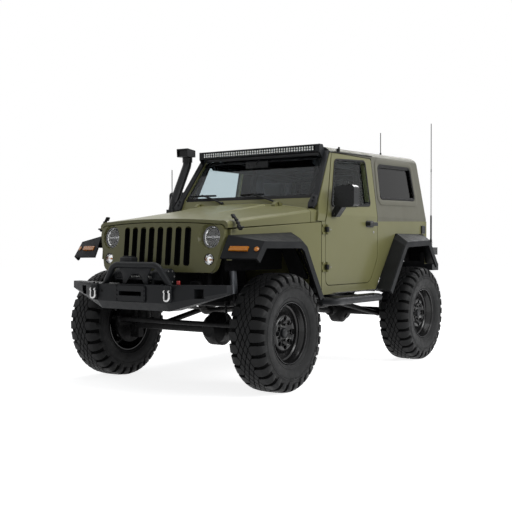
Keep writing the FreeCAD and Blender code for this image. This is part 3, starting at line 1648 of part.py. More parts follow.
def make_tailgate():
    x0, x1 = tub_rear_x - tailgate_thickness * half, tub_rear_x + tailgate_thickness * half
    panel = box(x0, x1, -tailgate_half, tailgate_half, tailgate_bottom_z, tailgate_top_z)
    panel = panel.makeFillet(panel_gap * 2, [edge for edge in panel.Edges if edge_runs_x(edge)])
    save("tailgate", panel)
    centre = spare_centre()
    plate_x = x0 - hinge_leaf
    mount_x = centre.x - rim_disc_offset + lamp_gap
    plate = box(plate_x, x0 - lamp_gap, -carrier_plate, carrier_plate, tailgate_bottom_z + carrier_tube,
                tailgate_top_z - panel_gap)
    post = box(plate_x, plate_x - carrier_tube, -carrier_tube, carrier_tube, spare_z - rim_disc_radius,
               spare_z + carrier_tube)
    stub = rod(point(plate_x - carrier_tube * half, 0, spare_z), point(mount_x, 0, spare_z), hub_radius)
    pieces = [joined(plate, post, stub)]
    for z in (tailgate_bottom_z + carrier_plate * half, tailgate_top_z - carrier_plate * half):
        barrel_half = door_hinge_height * barrel_share * half
        centre_pin = point(tailgate_hinge_x, tailgate_hinge_y, z)
        barrel = rod(centre_pin - point(0, 0, barrel_half), centre_pin + point(0, 0, barrel_half), hinge_barrel_radius)
        strap = box(plate_x, x0 - lamp_gap, tailgate_hinge_y + hinge_barrel_radius * half, -carrier_plate - panel_gap,
                    z - barrel_half, z + barrel_half)
        pieces.append(joined(barrel, strap))
    save("spare_carrier", *pieces)

def tailgate_ears():
    ears = []
    for z in (tailgate_bottom_z + carrier_plate * half, tailgate_top_z - carrier_plate * half):
        barrel_half = door_hinge_height * barrel_share * half + knuckle_gap
        end = door_hinge_height * half
        for low, high in ((z - end, z - barrel_half), (z + barrel_half, z + end)):
            ear = rod(point(tailgate_hinge_x, tailgate_hinge_y, low), point(tailgate_hinge_x, tailgate_hinge_y, high),
                      hinge_barrel_radius)
            leaf = box(tailgate_hinge_x, tub_rear_x - lamp_gap, tailgate_hinge_y - hinge_barrel_radius,
                       tailgate_hinge_y, low, high)
            foot = box(tub_rear_x - lamp_gap - hinge_leaf, tub_rear_x - lamp_gap, tailgate_hinge_y - hinge_barrel_radius * 2,
                       tailgate_hinge_y, low, high)
            ears.append(joined(ear, leaf, foot))
    return ears


def edge_runs_x(edge):
    ends = [vertex.Point for vertex in edge.Vertexes]
    return abs(ends[0].y - ends[1].y) < tiny_share and abs(ends[0].z - ends[1].z) < tiny_share


# Front bumper, winch and light bar

def make_bumper():
    middle = [
        (bumper_face_x, bumper_top_z), (bumper_face_x, bumper_fold_z), (bumper_under_x, bumper_bottom_z),
        (bumper_back_x, bumper_bottom_z), (bumper_back_x, bumper_top_z),
    ]
    core = side_plate(middle, -bumper_half, bumper_half)
    wing_end = [
        (wing_face_x, wing_top_z), (wing_face_x, wing_fold_z), (wing_face_x - overrun, wing_bottom_z),
        (wing_back_x, wing_bottom_z), (wing_back_x, wing_top_z),
    ]
    wing = Part.makeLoft([
        rounded_wire([point(x, bumper_half, z) for x, z in middle]),
        rounded_wire([point(x, wing_half, z) for x, z in wing_end]),
    ], True, True)
    lamp_hole = box(wing_back_x - overrun, bumper_face_x + overrun, lamp_hole_inner_y, lamp_hole_outer_y,
                    lamp_hole_bottom_z, lamp_hole_top_z)
    wing = wing.cut(lamp_hole)
    slot = fairlead_slot()
    lugs = []
    for side in (1, -1):
        x0 = between(shackle_y, bumper_half, wing_half, bumper_face_x, wing_face_x) - overrun
        lug = side_plate([
            (x0, shackle_z - shackle_lug_height * half), (x0, shackle_z + shackle_lug_height * half),
            (x0 + overrun + shackle_lug_reach, shackle_z + shackle_lug_height * lug_nose_share),
            (x0 + overrun + shackle_lug_reach, shackle_z - shackle_lug_height * lug_nose_share),
        ], shackle_y - shackle_lug_thickness * half, shackle_y + shackle_lug_thickness * half)
        eye = rod(shackle_eye() - point(0, shackle_lug_thickness, 0), shackle_eye() + point(0, shackle_lug_thickness, 0),
                  shackle_bar + lamp_gap)
        lug = lug.cut(eye)
        lugs.append(lug if side > 0 else mirrored(lug))
    body = joined(core, *pair(wing)).cut(slot)
    body = body.cut(front_plate([(-fairlead_plate_half, fairlead_z - fairlead_plate_height * half),
                                 (fairlead_plate_half, fairlead_z - fairlead_plate_height * half),
                                 (fairlead_plate_half, fairlead_z + fairlead_plate_height * half),
                                 (-fairlead_plate_half, fairlead_z + fairlead_plate_height * half)],
                                bumper_face_x - fairlead_plate, bumper_face_x + overrun, panel_gap * 3))
    hoop = bent_rod([
        point(hoop_foot_x, -hoop_foot_y, bumper_top_z - overrun), point(hoop_top_x, -hoop_top_y, hoop_top_z),
        point(hoop_top_x, hoop_top_y, hoop_top_z), point(hoop_foot_x, hoop_foot_y, bumper_top_z - overrun),
    ], hoop_radius, hoop_bend)
    save("front_bumper", joined(body, hoop, *lugs))
    shackles = []
    for side in (1, -1):
        eye = shackle_eye()
        bow = bent_rod([
            eye + point(0, shackle_half_width, 0), eye + point(shackle_bar, shackle_half_width, -shackle_height),
            eye + point(shackle_bar, -shackle_half_width, -shackle_height), eye + point(0, -shackle_half_width, 0),
        ], shackle_bar, shackle_half_width * half)
        pin = rod(eye - point(0, shackle_half_width + shackle_bar, 0), eye + point(0, shackle_half_width + shackle_bar, 0),
                  shackle_bar)
        shackle = joined(bow, pin)
        shackles.append(shackle if side > 0 else mirrored(shackle))
    save("tow_shackles", *shackles)


lug_nose_share = 0.3


def shackle_eye():
    x = between(shackle_y, bumper_half, wing_half, bumper_face_x, wing_face_x)
    return point(x + shackle_lug_reach * half, shackle_y, shackle_z + shackle_lug_height * eye_share)


eye_share = 0.16


def make_winch():
    centre = point(winch_x, 0, winch_z)
    pieces = []
    for side in (1, -1):
        inner = winch_half - winch_end_length
        pieces.append(rod(centre + point(0, side * inner, 0), centre + point(0, side * winch_half, 0), winch_end_radius))
        foot_y = side * (inner + winch_foot * 2)
        pieces.append(box(winch_x - winch_end_radius, winch_x + winch_end_radius, side * inner, foot_y,
                          bumper_top_z + lamp_gap, winch_z))
    drum = rod(centre - point(0, winch_half - winch_foot, 0), centre + point(0, winch_half - winch_foot, 0), winch_drum_radius)
    bars = [
        rod(point(winch_x + dx, -winch_half + winch_foot, winch_z - winch_bar_spread * half),
            point(winch_x + dx, winch_half - winch_foot, winch_z - winch_bar_spread * half), winch_bar_radius)
        for dx in (-winch_bar_spread, winch_bar_spread)
    ]
    save("winch", joined(drum, *pieces, *bars), fairlead())


def fairlead():
    """Slotted plate that stands in the recess of the bumper."""
    y, z = fairlead_plate_half - panel_gap, fairlead_plate_height * half - panel_gap
    outline = [(-y, fairlead_z - z), (y, fairlead_z - z), (y, fairlead_z + z), (-y, fairlead_z + z)]
    plate = front_plate(outline, bumper_face_x - fairlead_plate + lamp_gap, bumper_face_x + fairlead_plate, panel_gap * 3)
    return plate.cut(fairlead_slot())


def fairlead_slot():
    return box(bumper_back_x - overrun, bumper_face_x + overrun, -fairlead_half, fairlead_half,
               fairlead_z - fairlead_height * half, fairlead_z + fairlead_height * half)


def make_light_bar():
    x0, x1 = light_bar_x - light_bar_depth * half, light_bar_x + light_bar_depth * half
    outline = [(x0, light_bar_bottom_z), (x1, light_bar_bottom_z), (x1, light_bar_top_z), (x0, light_bar_top_z)]
    housing = side_plate(outline, -light_bar_half, light_bar_half, panel_gap)
    mid = (light_bar_bottom_z + light_bar_top_z) * half
    recess = box(x1 - light_bar_lens_depth, x1 + overrun, -light_bar_lens_half, light_bar_lens_half,
                 mid - light_bar_lens_height * half, mid + light_bar_lens_height * half)
    brackets = []
    for side in (1, -1):
        y = light_bar_half
        strap = side_plate([
            (x1, light_bar_top_z), (x1, light_bar_bottom_z), (x0 - overrun * 2, light_bar_bottom_z - overrun * 5),
            (x0 - overrun * 4, light_bar_bottom_z - overrun * 4), (x0, light_bar_top_z),
        ], side * y, side * (y + light_bar_bracket))
        brackets.append(strap)
    tub_room = screen_solid()
    save("light_bar", joined(housing, *brackets).cut(recess).cut(tub_room))
    save("light_bar_lens", box(x1 - light_bar_lens_depth + lamp_gap, x1 - lamp_gap, -light_bar_lens_half + lamp_gap,
                               light_bar_lens_half - lamp_gap, mid - light_bar_lens_height * half + lamp_gap,
                               mid + light_bar_lens_height * half - lamp_gap))


def screen_solid():
    """The windscreen's own space, grown a little, which other pieces keep out of."""
    outline = [(-side_y, -overrun * 2), (side_y, -overrun * 2), (side_y, screen_height + overrun),
               (-side_y, screen_height + overrun)]
    return screen_leaned(front_plate(outline, -wall * 2, lamp_gap))


# Snorkel, side steps and rear bumper

def make_snorkel():
    foot = point(snorkel_foot_x, snorkel_y, snorkel_foot_z)
    pipe = bent_rod([
        foot, point(snorkel_low_x, snorkel_y, snorkel_low_z), point(snorkel_top_x, snorkel_y, snorkel_top_z),
        point(snorkel_top_x + panel_gap, snorkel_y, snorkel_neck_z + overrun),
    ], snorkel_radius, snorkel_bend)
    x0, x1 = snorkel_top_x - snorkel_radius, snorkel_top_x - snorkel_radius + snorkel_head_depth
    head = side_plate([
        (x0, snorkel_neck_z), (x1, snorkel_neck_z), (x1 + snorkel_clamp, snorkel_neck_z + snorkel_head_height),
        (x0, snorkel_neck_z + snorkel_head_height - snorkel_clamp * 2),
    ], snorkel_y - snorkel_head_half, snorkel_y + snorkel_head_half, snorkel_clamp)
    mouth = box(x1 - snorkel_clamp * 2, x1 + overrun, snorkel_y - snorkel_head_half + snorkel_clamp,
                snorkel_y + snorkel_head_half - snorkel_clamp, snorkel_neck_z + snorkel_clamp,
                snorkel_neck_z + snorkel_head_height - snorkel_clamp * 2)
    collar = rod(point(snorkel_top_x, snorkel_y, snorkel_top_z + overrun), point(snorkel_top_x, snorkel_y, snorkel_neck_z),
                 snorkel_radius + snorkel_clamp)
    boot = box(snorkel_foot_x - snorkel_radius * 2, snorkel_foot_x + snorkel_radius, snorkel_y - snorkel_radius,
               -side_y * boot_share, belt_front_z + panel_gap, snorkel_foot_z + overrun)
    boot = boot.cut(hood_face(door_front_x - overrun * 2, hood_rear_x)).cut(cheek_room())
    save("snorkel", joined(pipe, head.cut(mouth), collar, boot))


boot_share = 0.965


def cheek_room():
    """Space of the right windscreen cheek."""
    return mirrored(wall_band(-overrun, screen_foot_x + overrun * 4, belt_front_z, door_top_z, wall * 2))


def make_sliders():
    z = slider_z
    outer = bent_rod([
        point(slider_front_x + overrun * 2, slider_inner_y, z), point(slider_front_x, slider_y, z),
        point(slider_rear_x, slider_y, z), point(slider_rear_x - overrun * 2, slider_inner_y, z),
    ], slider_radius, slider_bend)
    inner = rod(point(slider_front_x + overrun * 3, slider_inner_y, z), point(slider_rear_x - overrun * 3, slider_inner_y, z),
                slider_radius)
    legs = [
        rod(point(x, rail_y + rail_width * half + slider_leg_gap, rail_mid_z - rail_height * half),
            point(x, slider_inner_y, z), slider_leg_radius)
        for x in (slider_front_x * half, slider_rear_x * half)
    ]
    plate = box(slider_rear_x + overrun * 2, slider_front_x - overrun * 2, slider_inner_y, slider_y,
                z + slider_radius - slider_plate, z + slider_radius)
    save("side_steps", *pair(joined(outer, inner, plate, *legs)))


def make_rear_bumper():
    plan = [
        (rear_bumper_front_x, 0), (rear_bumper_front_x, rear_bumper_half - rear_bumper_return),
        (rear_bumper_return_x, rear_bumper_half - rear_bumper_return), (rear_bumper_return_x, rear_bumper_half),
        (rear_bumper_face_x + rear_bumper_return, rear_bumper_half),
        (rear_bumper_face_x, rear_bumper_half - rear_bumper_return), (rear_bumper_face_x, 0),
    ]
    beam = floor_plate(plan, rear_bumper_bottom_z, rear_bumper_top_z)
    outer = box(hitch_mouth_x, hitch_mouth_x + hitch_length, -hitch_outer_half, hitch_outer_half,
                hitch_z - hitch_outer_half, hitch_z + hitch_outer_half)
    socket = box(hitch_mouth_x - overrun, hitch_mouth_x + hitch_length + overrun, -hitch_inner_half, hitch_inner_half,
                 hitch_z - hitch_inner_half, hitch_z + hitch_inner_half)
    pin_x = hitch_mouth_x + hitch_pin_setback
    pin_hole = rod(point(pin_x, -hitch_outer_half * 2, hitch_z), point(pin_x, hitch_outer_half * 2, hitch_z),
                   hitch_pin_radius)
    beam_y = rail_y - rail_width * half - lamp_gap
    bar_x = hitch_mouth_x + hitch_length
    bar = box(bar_x, bar_x + hitch_outer_half * 2, -beam_y, beam_y, hitch_z - hitch_outer_half, hitch_z + hitch_outer_half)
    web = box(rear_bumper_face_x + overrun, rear_bumper_front_x, -hitch_outer_half, hitch_outer_half,
              hitch_z + hitch_inner_half, rear_bumper_bottom_z + overrun)
    save("rear_bumper", joined(beam, mirrored(beam), outer.cut(socket).cut(pin_hole), bar, web))


def make_tail_lamps():
    lamps = []
    for side in (1, -1):
        lamps.append(box(tub_rear_x - tail_lamp_depth, tub_rear_x - lamp_gap, side * tail_lamp_inner_y,
                         side * tail_lamp_outer_y, tail_lamp_bottom_z, tail_lamp_top_z))
        lamps.append(box(side_marker_rear_x, side_marker_front_x, side * (side_y + lamp_gap),
                           side * (side_y + side_marker_depth), side_marker_bottom_z, side_marker_top_z))
    save("tail_lamps", *lamps)


def make_antennas():
    whip = [
        rod(point(whip_x, whip_y, whip_bracket_top_z - overrun), point(whip_x, whip_y, whip_joint_z), whip_low_radius),
        rod(point(whip_x, whip_y, whip_joint_z - overrun), point(whip_x, whip_y, whip_top_z), whip_radius),
        box(whip_x - whip_bracket, whip_x + whip_bracket * half, side_y + lamp_gap, side_y + whip_bracket,
            whip_bracket_bottom_z, whip_bracket_top_z),
    ]
    roof_whip = rod(point(roof_whip_x, roof_whip_y, roof_height(roof_whip_x) + lamp_gap),
                    point(roof_whip_x, roof_whip_y, roof_height(roof_whip_x) + roof_whip_height), whip_radius)
    foot = rod(point(roof_whip_x, roof_whip_y, roof_height(roof_whip_x) + lamp_gap),
               point(roof_whip_x, roof_whip_y, roof_height(roof_whip_x) + overrun), whip_low_radius)
    cowl_half = between(cowl_whip_x, hood_rear_x, hood_front_x, hood_rear_half, hood_front_half)
    cowl_y = -cowl_half - whip_low_radius - lamp_gap
    cowl_whip = rod(point(cowl_whip_x, cowl_y, belt_front_z + overrun),
                    point(cowl_whip_x, cowl_y, belt_front_z + overrun + cowl_whip_height), whip_radius)
    cowl_foot = rod(point(cowl_whip_x, cowl_y, belt_front_z + panel_gap), point(cowl_whip_x, cowl_y, belt_front_z + overrun * 3),
                    whip_low_radius)
    save("antennas", joined(*whip), joined(roof_whip, foot), joined(cowl_whip, cowl_foot))


def roof_height(x):
    """Height of the roof skin at the foot of its antenna."""
    share = (roof_whip_y - whip_low_radius) / (roof_edge_half - roof_edge_drop)
    crown = between(x, roof_front_x, roof_rear_x, roof_front_z, roof_rear_z)
    return crown - roof_edge_drop * eave_share * share * share


# Cabin

def make_seats():
    cushions, backs = [], []
    for side in (1, -1):
        y0, y1 = side * seat_y - seat_half, side * seat_y + seat_half
        cushions.append(side_plate([
            (seat_front_x, seat_bottom_z), (seat_front_x, seat_top_z), (seat_rear_x, seat_top_z - seat_round),
            (seat_rear_x, seat_bottom_z),
        ], y0, y1, seat_round))
        top_x = seat_rear_x - seat_back_lean
        backs.append(side_plate([
            (seat_rear_x - seat_gap, seat_bottom_z), (seat_rear_x - seat_gap, seat_top_z - seat_round),
            (top_x, seat_back_top_z), (top_x - seat_back_thickness * half, seat_back_top_z),
            (seat_rear_x - seat_back_thickness, seat_bottom_z),
        ], y0, y1, seat_round * half))
        backs[-1] = joined(backs[-1], side_plate([
            (top_x - seat_gap, seat_back_top_z - seat_round), (top_x - seat_gap, seat_back_top_z + head_rest_height),
            (top_x - seat_back_thickness * head_share, seat_back_top_z + head_rest_height),
            (top_x - seat_back_thickness * head_share, seat_back_top_z - seat_round),
        ], side * seat_y - head_rest_half, side * seat_y + head_rest_half, seat_round * half))
    save("front_seats", *cushions, *backs)
    cushion = side_plate([
        (bench_front_x, cargo_floor_z + floor_thickness + seat_gap), (bench_front_x, bench_top_z),
        (bench_rear_x, bench_top_z - seat_round), (bench_rear_x, cargo_floor_z + floor_thickness + seat_gap),
    ], -bench_half, bench_half, [0, seat_round, 0, 0])
    back = side_plate([
        (bench_rear_x - seat_gap, cargo_floor_z + floor_thickness + seat_gap), (bench_rear_x - seat_gap, bench_top_z - seat_round),
        (bench_rear_x - bench_back_lean, bench_back_top_z), (bench_rear_x - bench_back_lean - seat_back_thickness * half, bench_back_top_z),
        (bench_rear_x - seat_back_thickness, cargo_floor_z + floor_thickness + seat_gap),
    ], -bench_half, bench_half, [0, 0, seat_round * half, seat_round * half, 0])
    save("rear_bench", cushion, back)


head_share = 0.8


def make_dashboard():
    outline = [
        (dash_front_x, dash_bottom_z), (dash_front_x, dash_top_z), (dash_rear_x, dash_top_z - dash_round),
        (dash_rear_x, dash_bottom_z + dash_round),
    ]
    y = dash_half
    dash = side_plate(outline, -y, y, [0, dash_round * half, dash_round * half, dash_round])
    save("dashboard", dash.cut(Part.makeCompound([dash_tunnel()])))
    tilt = point(-math.cos(math.radians(wheel_tilt_deg)), 0, math.sin(math.radians(wheel_tilt_deg)))
    hub = point(wheel_hub_x, wheel_hub_y, wheel_hub_z)
    ring = Part.makeTorus(wheel_ring_radius, wheel_ring_bar, hub, tilt)
    column = rod(hub, point(dash_rear_x, wheel_hub_y, wheel_hub_z - column_drop), column_radius)
    dash_room = box(dash_rear_x - lamp_gap, dash_front_x, 0, dash_half, wheel_hub_z - wheel_ring_radius, wheel_hub_z)
    spoke_side = rod(hub - point(0, wheel_ring_radius, 0), hub + point(0, wheel_ring_radius, 0), wheel_ring_bar * spoke_share)
    down = point(math.sin(math.radians(wheel_tilt_deg)), 0, math.cos(math.radians(wheel_tilt_deg)))
    spoke_down = rod(hub, hub - down * wheel_ring_radius, wheel_ring_bar * spoke_share)
    save("steering_wheel", joined(ring, spoke_side, spoke_down, column.cut(dash_room)))


spoke_share = 0.8


def dash_tunnel():
    return box(dash_rear_x - overrun, dash_front_x - dash_round * 3, -dash_half * half * half, dash_half * half * half,
               dash_bottom_z - overrun, dash_bottom_z + dash_round * half)


def make_cage():
    floor_top = floor_z + floor_thickness + lamp_gap
    hoop = bent_rod([
        point(cage_hoop_x, -cage_half - overrun, floor_z), point(cage_hoop_x, -cage_half, cage_top_z),
        point(cage_hoop_x, cage_half, cage_top_z), point(cage_hoop_x, cage_half + overrun, floor_z),
    ], cage_radius, cage_bend)
    under = box(cage_rear_x, cage_front_x, -side_y, side_y, floor_z - overrun, floor_top)
    sides = []
    for side in (1, -1):
        sides.append(bent_rod([
            point(cage_hoop_x, side * (cage_half - cage_radius), cage_top_z),
            point(cage_rear_x + cage_bend, side * (cage_half - cage_radius), cage_top_z - cage_radius),
            point(cage_rear_x, side * cage_foot_y, cage_rear_foot_z),
        ], cage_radius, cage_bend))
        sides.append(rod(point(cage_hoop_x, side * (cage_half - cage_radius), cage_top_z),
                         point(cage_front_x, side * (cage_half - cage_radius), cage_top_z), cage_radius))
    bar = rod(point(cage_rear_x + cage_bend, -cage_half + cage_radius, cage_top_z - cage_radius),
              point(cage_rear_x + cage_bend, cage_half - cage_radius, cage_top_z - cage_radius), cage_radius)
    save("roll_cage", joined(hoop.cut(under), bar, *sides))


# Under the body

def make_driveline():
    save("engine_block", box(engine_rear_x, engine_front_x, -engine_half, engine_half, engine_bottom_z, engine_top_z))
    save("radiator", box(radiator_x - radiator_depth, radiator_x, -radiator_half, radiator_half, radiator_bottom_z,
                         radiator_top_z))
    gearbox = box(gearbox_rear_x, engine_rear_x - lamp_gap, -gearbox_half, gearbox_half, gearbox_bottom_z,
                  floor_z - panel_gap)
    transfer_rear_x = gearbox_rear_x - transfer_length
    transfer = box(transfer_rear_x, gearbox_rear_x, -gearbox_half, gearbox_half + transfer_y * half,
                   transfer_bottom_z, floor_z - panel_gap)
    front_end = point(front_x - pinion_length - panel_gap, front_diff_y, hub_z)
    rear_end = point(rear_x + pinion_length + panel_gap, 0, hub_z)
    shafts = [
        rod(front_end, point(gearbox_rear_x - overrun, transfer_y, shaft_z), shaft_radius),
        rod(rear_end, point(transfer_rear_x + overrun, 0, shaft_z), shaft_radius),
    ]
    save("driveline", joined(gearbox, transfer, *shafts))
    tank = box(tank_rear_x, tank_front_x, tank_inner_y, rail_y - rail_width * half - lamp_gap, tank_bottom_z,
               floor_z - panel_gap)
    save("fuel_tank", tank)
    pipe = bent_rod([
        point(exhaust_head_x, exhaust_y, engine_bottom_z - lamp_gap), point(exhaust_head_x, exhaust_y, exhaust_z),
        point(exhaust_bend_x, exhaust_y, exhaust_z),
        point(rail_rear_high_x, exhaust_y, exhaust_z + exhaust_rise), point(muffler_x, exhaust_y, exhaust_z + exhaust_rise),
    ], exhaust_radius, exhaust_radius * 3)
    muffler = rod(point(muffler_x, -muffler_half, exhaust_z + exhaust_rise), point(muffler_x, muffler_half, exhaust_z + exhaust_rise),
                  muffler_radius)
    save("exhaust", joined(pipe, muffler))


exhaust_bend_x = -720.0
exhaust_rise = 182.0


def main():
    os.makedirs("parts", exist_ok=True)
    make_wheels()
    make_axles()
    make_knuckles()
    make_tie_rod()
    make_springs()
    make_shocks()
    make_frame()
    make_tub()
    make_fenders()
    make_liners()
    make_flares()
    make_grille()
    make_lamps()
    make_hood()
    make_windscreen()
    make_hard_top()
    make_doors()
    save("hinge_ears", *door_ears(), *tailgate_ears(), *hood_ears())
    make_tailgate()
    make_bumper()
    make_winch()
    make_light_bar()
    make_snorkel()
    make_sliders()
    make_rear_bumper()
    make_tail_lamps()
    make_antennas()
    make_seats()
    make_dashboard()
    make_cage()
    make_driveline()


main()
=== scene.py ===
"""Looks of the lifted off-road vehicle: finishes, tyres, wheels, lamps, cabin and small fittings.

Metres, +X forward, +Y to the vehicle's left, +Z up, origin on the ground midway between the axles.
"""
import json
import math

import bmesh
import bpy
from bpy.props import FloatProperty, FloatVectorProperty, IntProperty, PointerProperty
from bpy.types import Operator, Panel, PropertyGroup
from mathutils import Matrix, Vector


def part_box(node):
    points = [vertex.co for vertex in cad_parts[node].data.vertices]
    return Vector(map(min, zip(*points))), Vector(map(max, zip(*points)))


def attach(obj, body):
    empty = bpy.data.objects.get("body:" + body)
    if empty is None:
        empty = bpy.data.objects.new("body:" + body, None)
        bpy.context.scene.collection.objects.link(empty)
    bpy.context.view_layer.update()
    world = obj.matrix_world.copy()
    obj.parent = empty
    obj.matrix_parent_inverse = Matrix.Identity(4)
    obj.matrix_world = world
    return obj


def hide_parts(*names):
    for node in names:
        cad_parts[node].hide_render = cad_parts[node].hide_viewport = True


bl_info = {
    "name": "Off-road vehicle looks",
    "version": (1, 0, 0),
    "blender": (4, 5, 0),
    "location": "View3D > Sidebar > Vehicle",
    "description": "Builds the finishes, tyres, lamps, cabin and fittings of a lifted off-road vehicle",
    "category": "Object",
}

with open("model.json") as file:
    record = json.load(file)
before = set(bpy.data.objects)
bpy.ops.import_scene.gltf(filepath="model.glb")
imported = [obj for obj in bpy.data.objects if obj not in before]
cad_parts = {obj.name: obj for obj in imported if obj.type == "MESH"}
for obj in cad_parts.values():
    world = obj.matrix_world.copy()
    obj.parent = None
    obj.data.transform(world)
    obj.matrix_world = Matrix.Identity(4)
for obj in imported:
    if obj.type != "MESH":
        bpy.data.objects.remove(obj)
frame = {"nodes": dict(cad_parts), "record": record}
body_of_node = {
    node: body for body, nodes in frame["record"]["behaviour"]["bodies"].items() for node in nodes
}

# Places shared with the source, in metres; those with a Y are on the left side
half_base = 1.212
half_track = 0.830
hub_z = 0.457
tyre_radius = 0.457
spare_centre = Vector((-1.865, 0, 1.418))
side_y = 0.790
knee_z = 1.390
tumblehome = 0.16
grille_pivot = Vector((1.647, 0, 0.918))
grille_lean = math.radians(-5.3)
screen_foot = Vector((0.503, 0, 1.476))
screen_lean = math.radians(-34.3)
bumper_top_z = 0.829
winch_x, winch_z = 1.800, 0.889
shackle_eye = Vector((1.972, 0.373, 0.785))
spring_y = 0.532
hinge_heights = (1.258, 0.941)
hinge_pin = (0.411, 0.811)
aerial_x, aerial_y = -1.694, 0.826
tub_seams = (0.440, 0.523)
roof_seam = -0.695
door_window = ((0.113, 1.873), (-0.445, 1.902), (-0.431, 1.493), (0.288, 1.466))
quarter_window = ((-0.704, 1.888), (-1.415, 1.905), (-1.433, 1.582), (-0.659, 1.566))

# Places of lamps: X, Y and Z before the grille leans, and on the fender
headlamp_place = (1.6304, 0.507, 1.1896)
turn_lamp_place = (1.6552, 0.510, 1.0175)
corner_lamp_place = Vector((1.5921, 0.9047, 1.0950))
corner_lamp_way = Vector((0.79, 0.22, 0.58)).normalized()

# Sizes of details, in metres
shut_width = 0.0028
hood_round = 0.048
spring_radius = 0.047
spring_bar = 0.0075
tread_row = 0.0215
window_circle = 0.1065
hub_face = 0.0465
nut_circle = 0.0635
drum_radius = 0.0335
rope_radius = 0.0058

# Seat pads: size of the skin's mesh, how far it shrinks before it swells, and length of the simulation
pad_voxel = 0.011
pad_shrink = 0.014
cloth_frames = 20

# Camera that was fitted to the photograph
camera_eye = Vector((6.8275, 4.5386, 1.1212))
camera_yaw, camera_pitch = math.radians(214.81), math.radians(-0.673)


# Sizes and colours that a user would change

class PaintSettings(PropertyGroup):
    body: FloatVectorProperty(
        name="Body", description="Satin olive of the tub, doors, hood and grille",
        subtype="COLOR", default=(0.166, 0.162, 0.066), min=0, max=1)
    top: FloatVectorProperty(
        name="Hard top", description="Matt grey olive of the hard top",
        subtype="COLOR", default=(0.128, 0.125, 0.098), min=0, max=1)
    trim: FloatVectorProperty(
        name="Trim", description="Charcoal of the flares, mirrors and handles",
        subtype="COLOR", default=(0.0170, 0.0180, 0.0195), min=0, max=1)
    armour: FloatVectorProperty(
        name="Armour", description="Powder coat of the bumpers, steps and winch",
        subtype="COLOR", default=(0.0150, 0.0160, 0.0180), min=0, max=1)
    panel_edge: FloatProperty(
        name="Panel edge", description="Rounding along the edges of sheet panels",
        default=0.004, unit="LENGTH", subtype="DISTANCE", min=0, max=0.02)
    armour_edge: FloatProperty(
        name="Armour edge", description="Rounding along the edges of steel plate",
        default=0.005, unit="LENGTH", subtype="DISTANCE", min=0, max=0.02)


class TyreSettings(PropertyGroup):
    pitches: IntProperty(
        name="Pitches", description="Shoulder lugs on each side of a tyre", default=30, min=12, max=48)
    groove: FloatProperty(
        name="Groove", description="Depth of the tread between the lugs",
        default=0.0155, unit="LENGTH", subtype="DISTANCE", min=0.005, max=0.02)
    gap: FloatProperty(
        name="Gap", description="Width of the grooves between the blocks",
        default=0.0085, unit="LENGTH", subtype="DISTANCE", min=0.003, max=0.02)
    steps: IntProperty(
        name="Steps", description="Divisions round the carcass", default=120, min=32, max=240)
    rubber: FloatVectorProperty(
        name="Rubber", description="Colour of the rubber",
        subtype="COLOR", default=(0.0080, 0.0082, 0.0086), min=0, max=1)


class WheelSettings(PropertyGroup):
    windows: IntProperty(
        name="Windows", description="Round holes in the disc of a wheel", default=8, min=4, max=12)
    window_radius: FloatProperty(
        name="Window radius", description="Radius of each round hole",
        default=0.0225, unit="LENGTH", subtype="DISTANCE", min=0.01, max=0.03)
    nuts: IntProperty(name="Nuts", description="Wheel nuts on each hub", default=5, min=4, max=8)
    enamel: FloatVectorProperty(
        name="Enamel", description="Colour of the steel wheels",
        subtype="COLOR", default=(0.0080, 0.0080, 0.0084), min=0, max=1)


class LampSettings(PropertyGroup):
    cells: IntProperty(
        name="Cells", description="Lamps in each row of the roof light bar", default=46, min=10, max=60)
    amber: FloatVectorProperty(
        name="Amber", description="Colour of the turn lamps' lenses",
        subtype="COLOR", default=(0.78, 0.25, 0.008), min=0, max=1)
    red: FloatVectorProperty(
        name="Red", description="Colour of the tail lamps' lenses",
        subtype="COLOR", default=(0.42, 0.012, 0.010), min=0, max=1)


class CabinSettings(PropertyGroup):
    fabric: FloatVectorProperty(
        name="Fabric", description="Colour of the seat cloth",
        subtype="COLOR", default=(0.028, 0.029, 0.031), min=0, max=1)
    plush: FloatProperty(
        name="Plush", description="How far the seat pads swell",
        default=0.018, unit="LENGTH", subtype="DISTANCE", min=0, max=0.03)


class StageSettings(PropertyGroup):
    lens: FloatProperty(
        name="Lens", description="Focal length on a 36 mm sensor",
        default=61.73, unit="CAMERA", min=20, max=200)
    key: FloatProperty(
        name="Key", description="Power of the large lamp on the vehicle's left",
        default=330, unit="POWER", min=0, max=5000)
    top: FloatProperty(
        name="Top", description="Power of the lamp overhead",
        default=170, unit="POWER", min=0, max=5000)
    edge: FloatProperty(
        name="Edge", description="Power of the narrow lamp behind, which draws the shoulders",
        default=210, unit="POWER", min=0, max=5000)
    room: FloatProperty(
        name="Room", description="Strength of the light from all round", default=0.20, min=0, max=2)


# Finishes

made_finishes = {}


def shader_of(name):
    """New material with a principled shader, and its node tree."""
    material = bpy.data.materials.new(name)
    material.use_nodes = True
    tree = material.node_tree
    tree.nodes.clear()
    output = tree.nodes.new("ShaderNodeOutputMaterial")
    shader = tree.nodes.new("ShaderNodeBsdfPrincipled")
    tree.links.new(shader.outputs["BSDF"], output.inputs["Surface"])
    return material, tree, shader


def texture_of(tree, kind, scale):
    """Texture of a kind in the object's own space."""
    place = tree.nodes.new("ShaderNodeTexCoord")
    texture = tree.nodes.new("ShaderNodeTex" + kind)
    texture.inputs["Scale"].default_value = scale
    tree.links.new(place.outputs["Object"], texture.inputs["Vector"])
    return texture


def noise_of(tree, scale, detail=3.0):
    noise = texture_of(tree, "Noise", scale)
    noise.inputs["Detail"].default_value = detail
    return noise.outputs["Fac"]


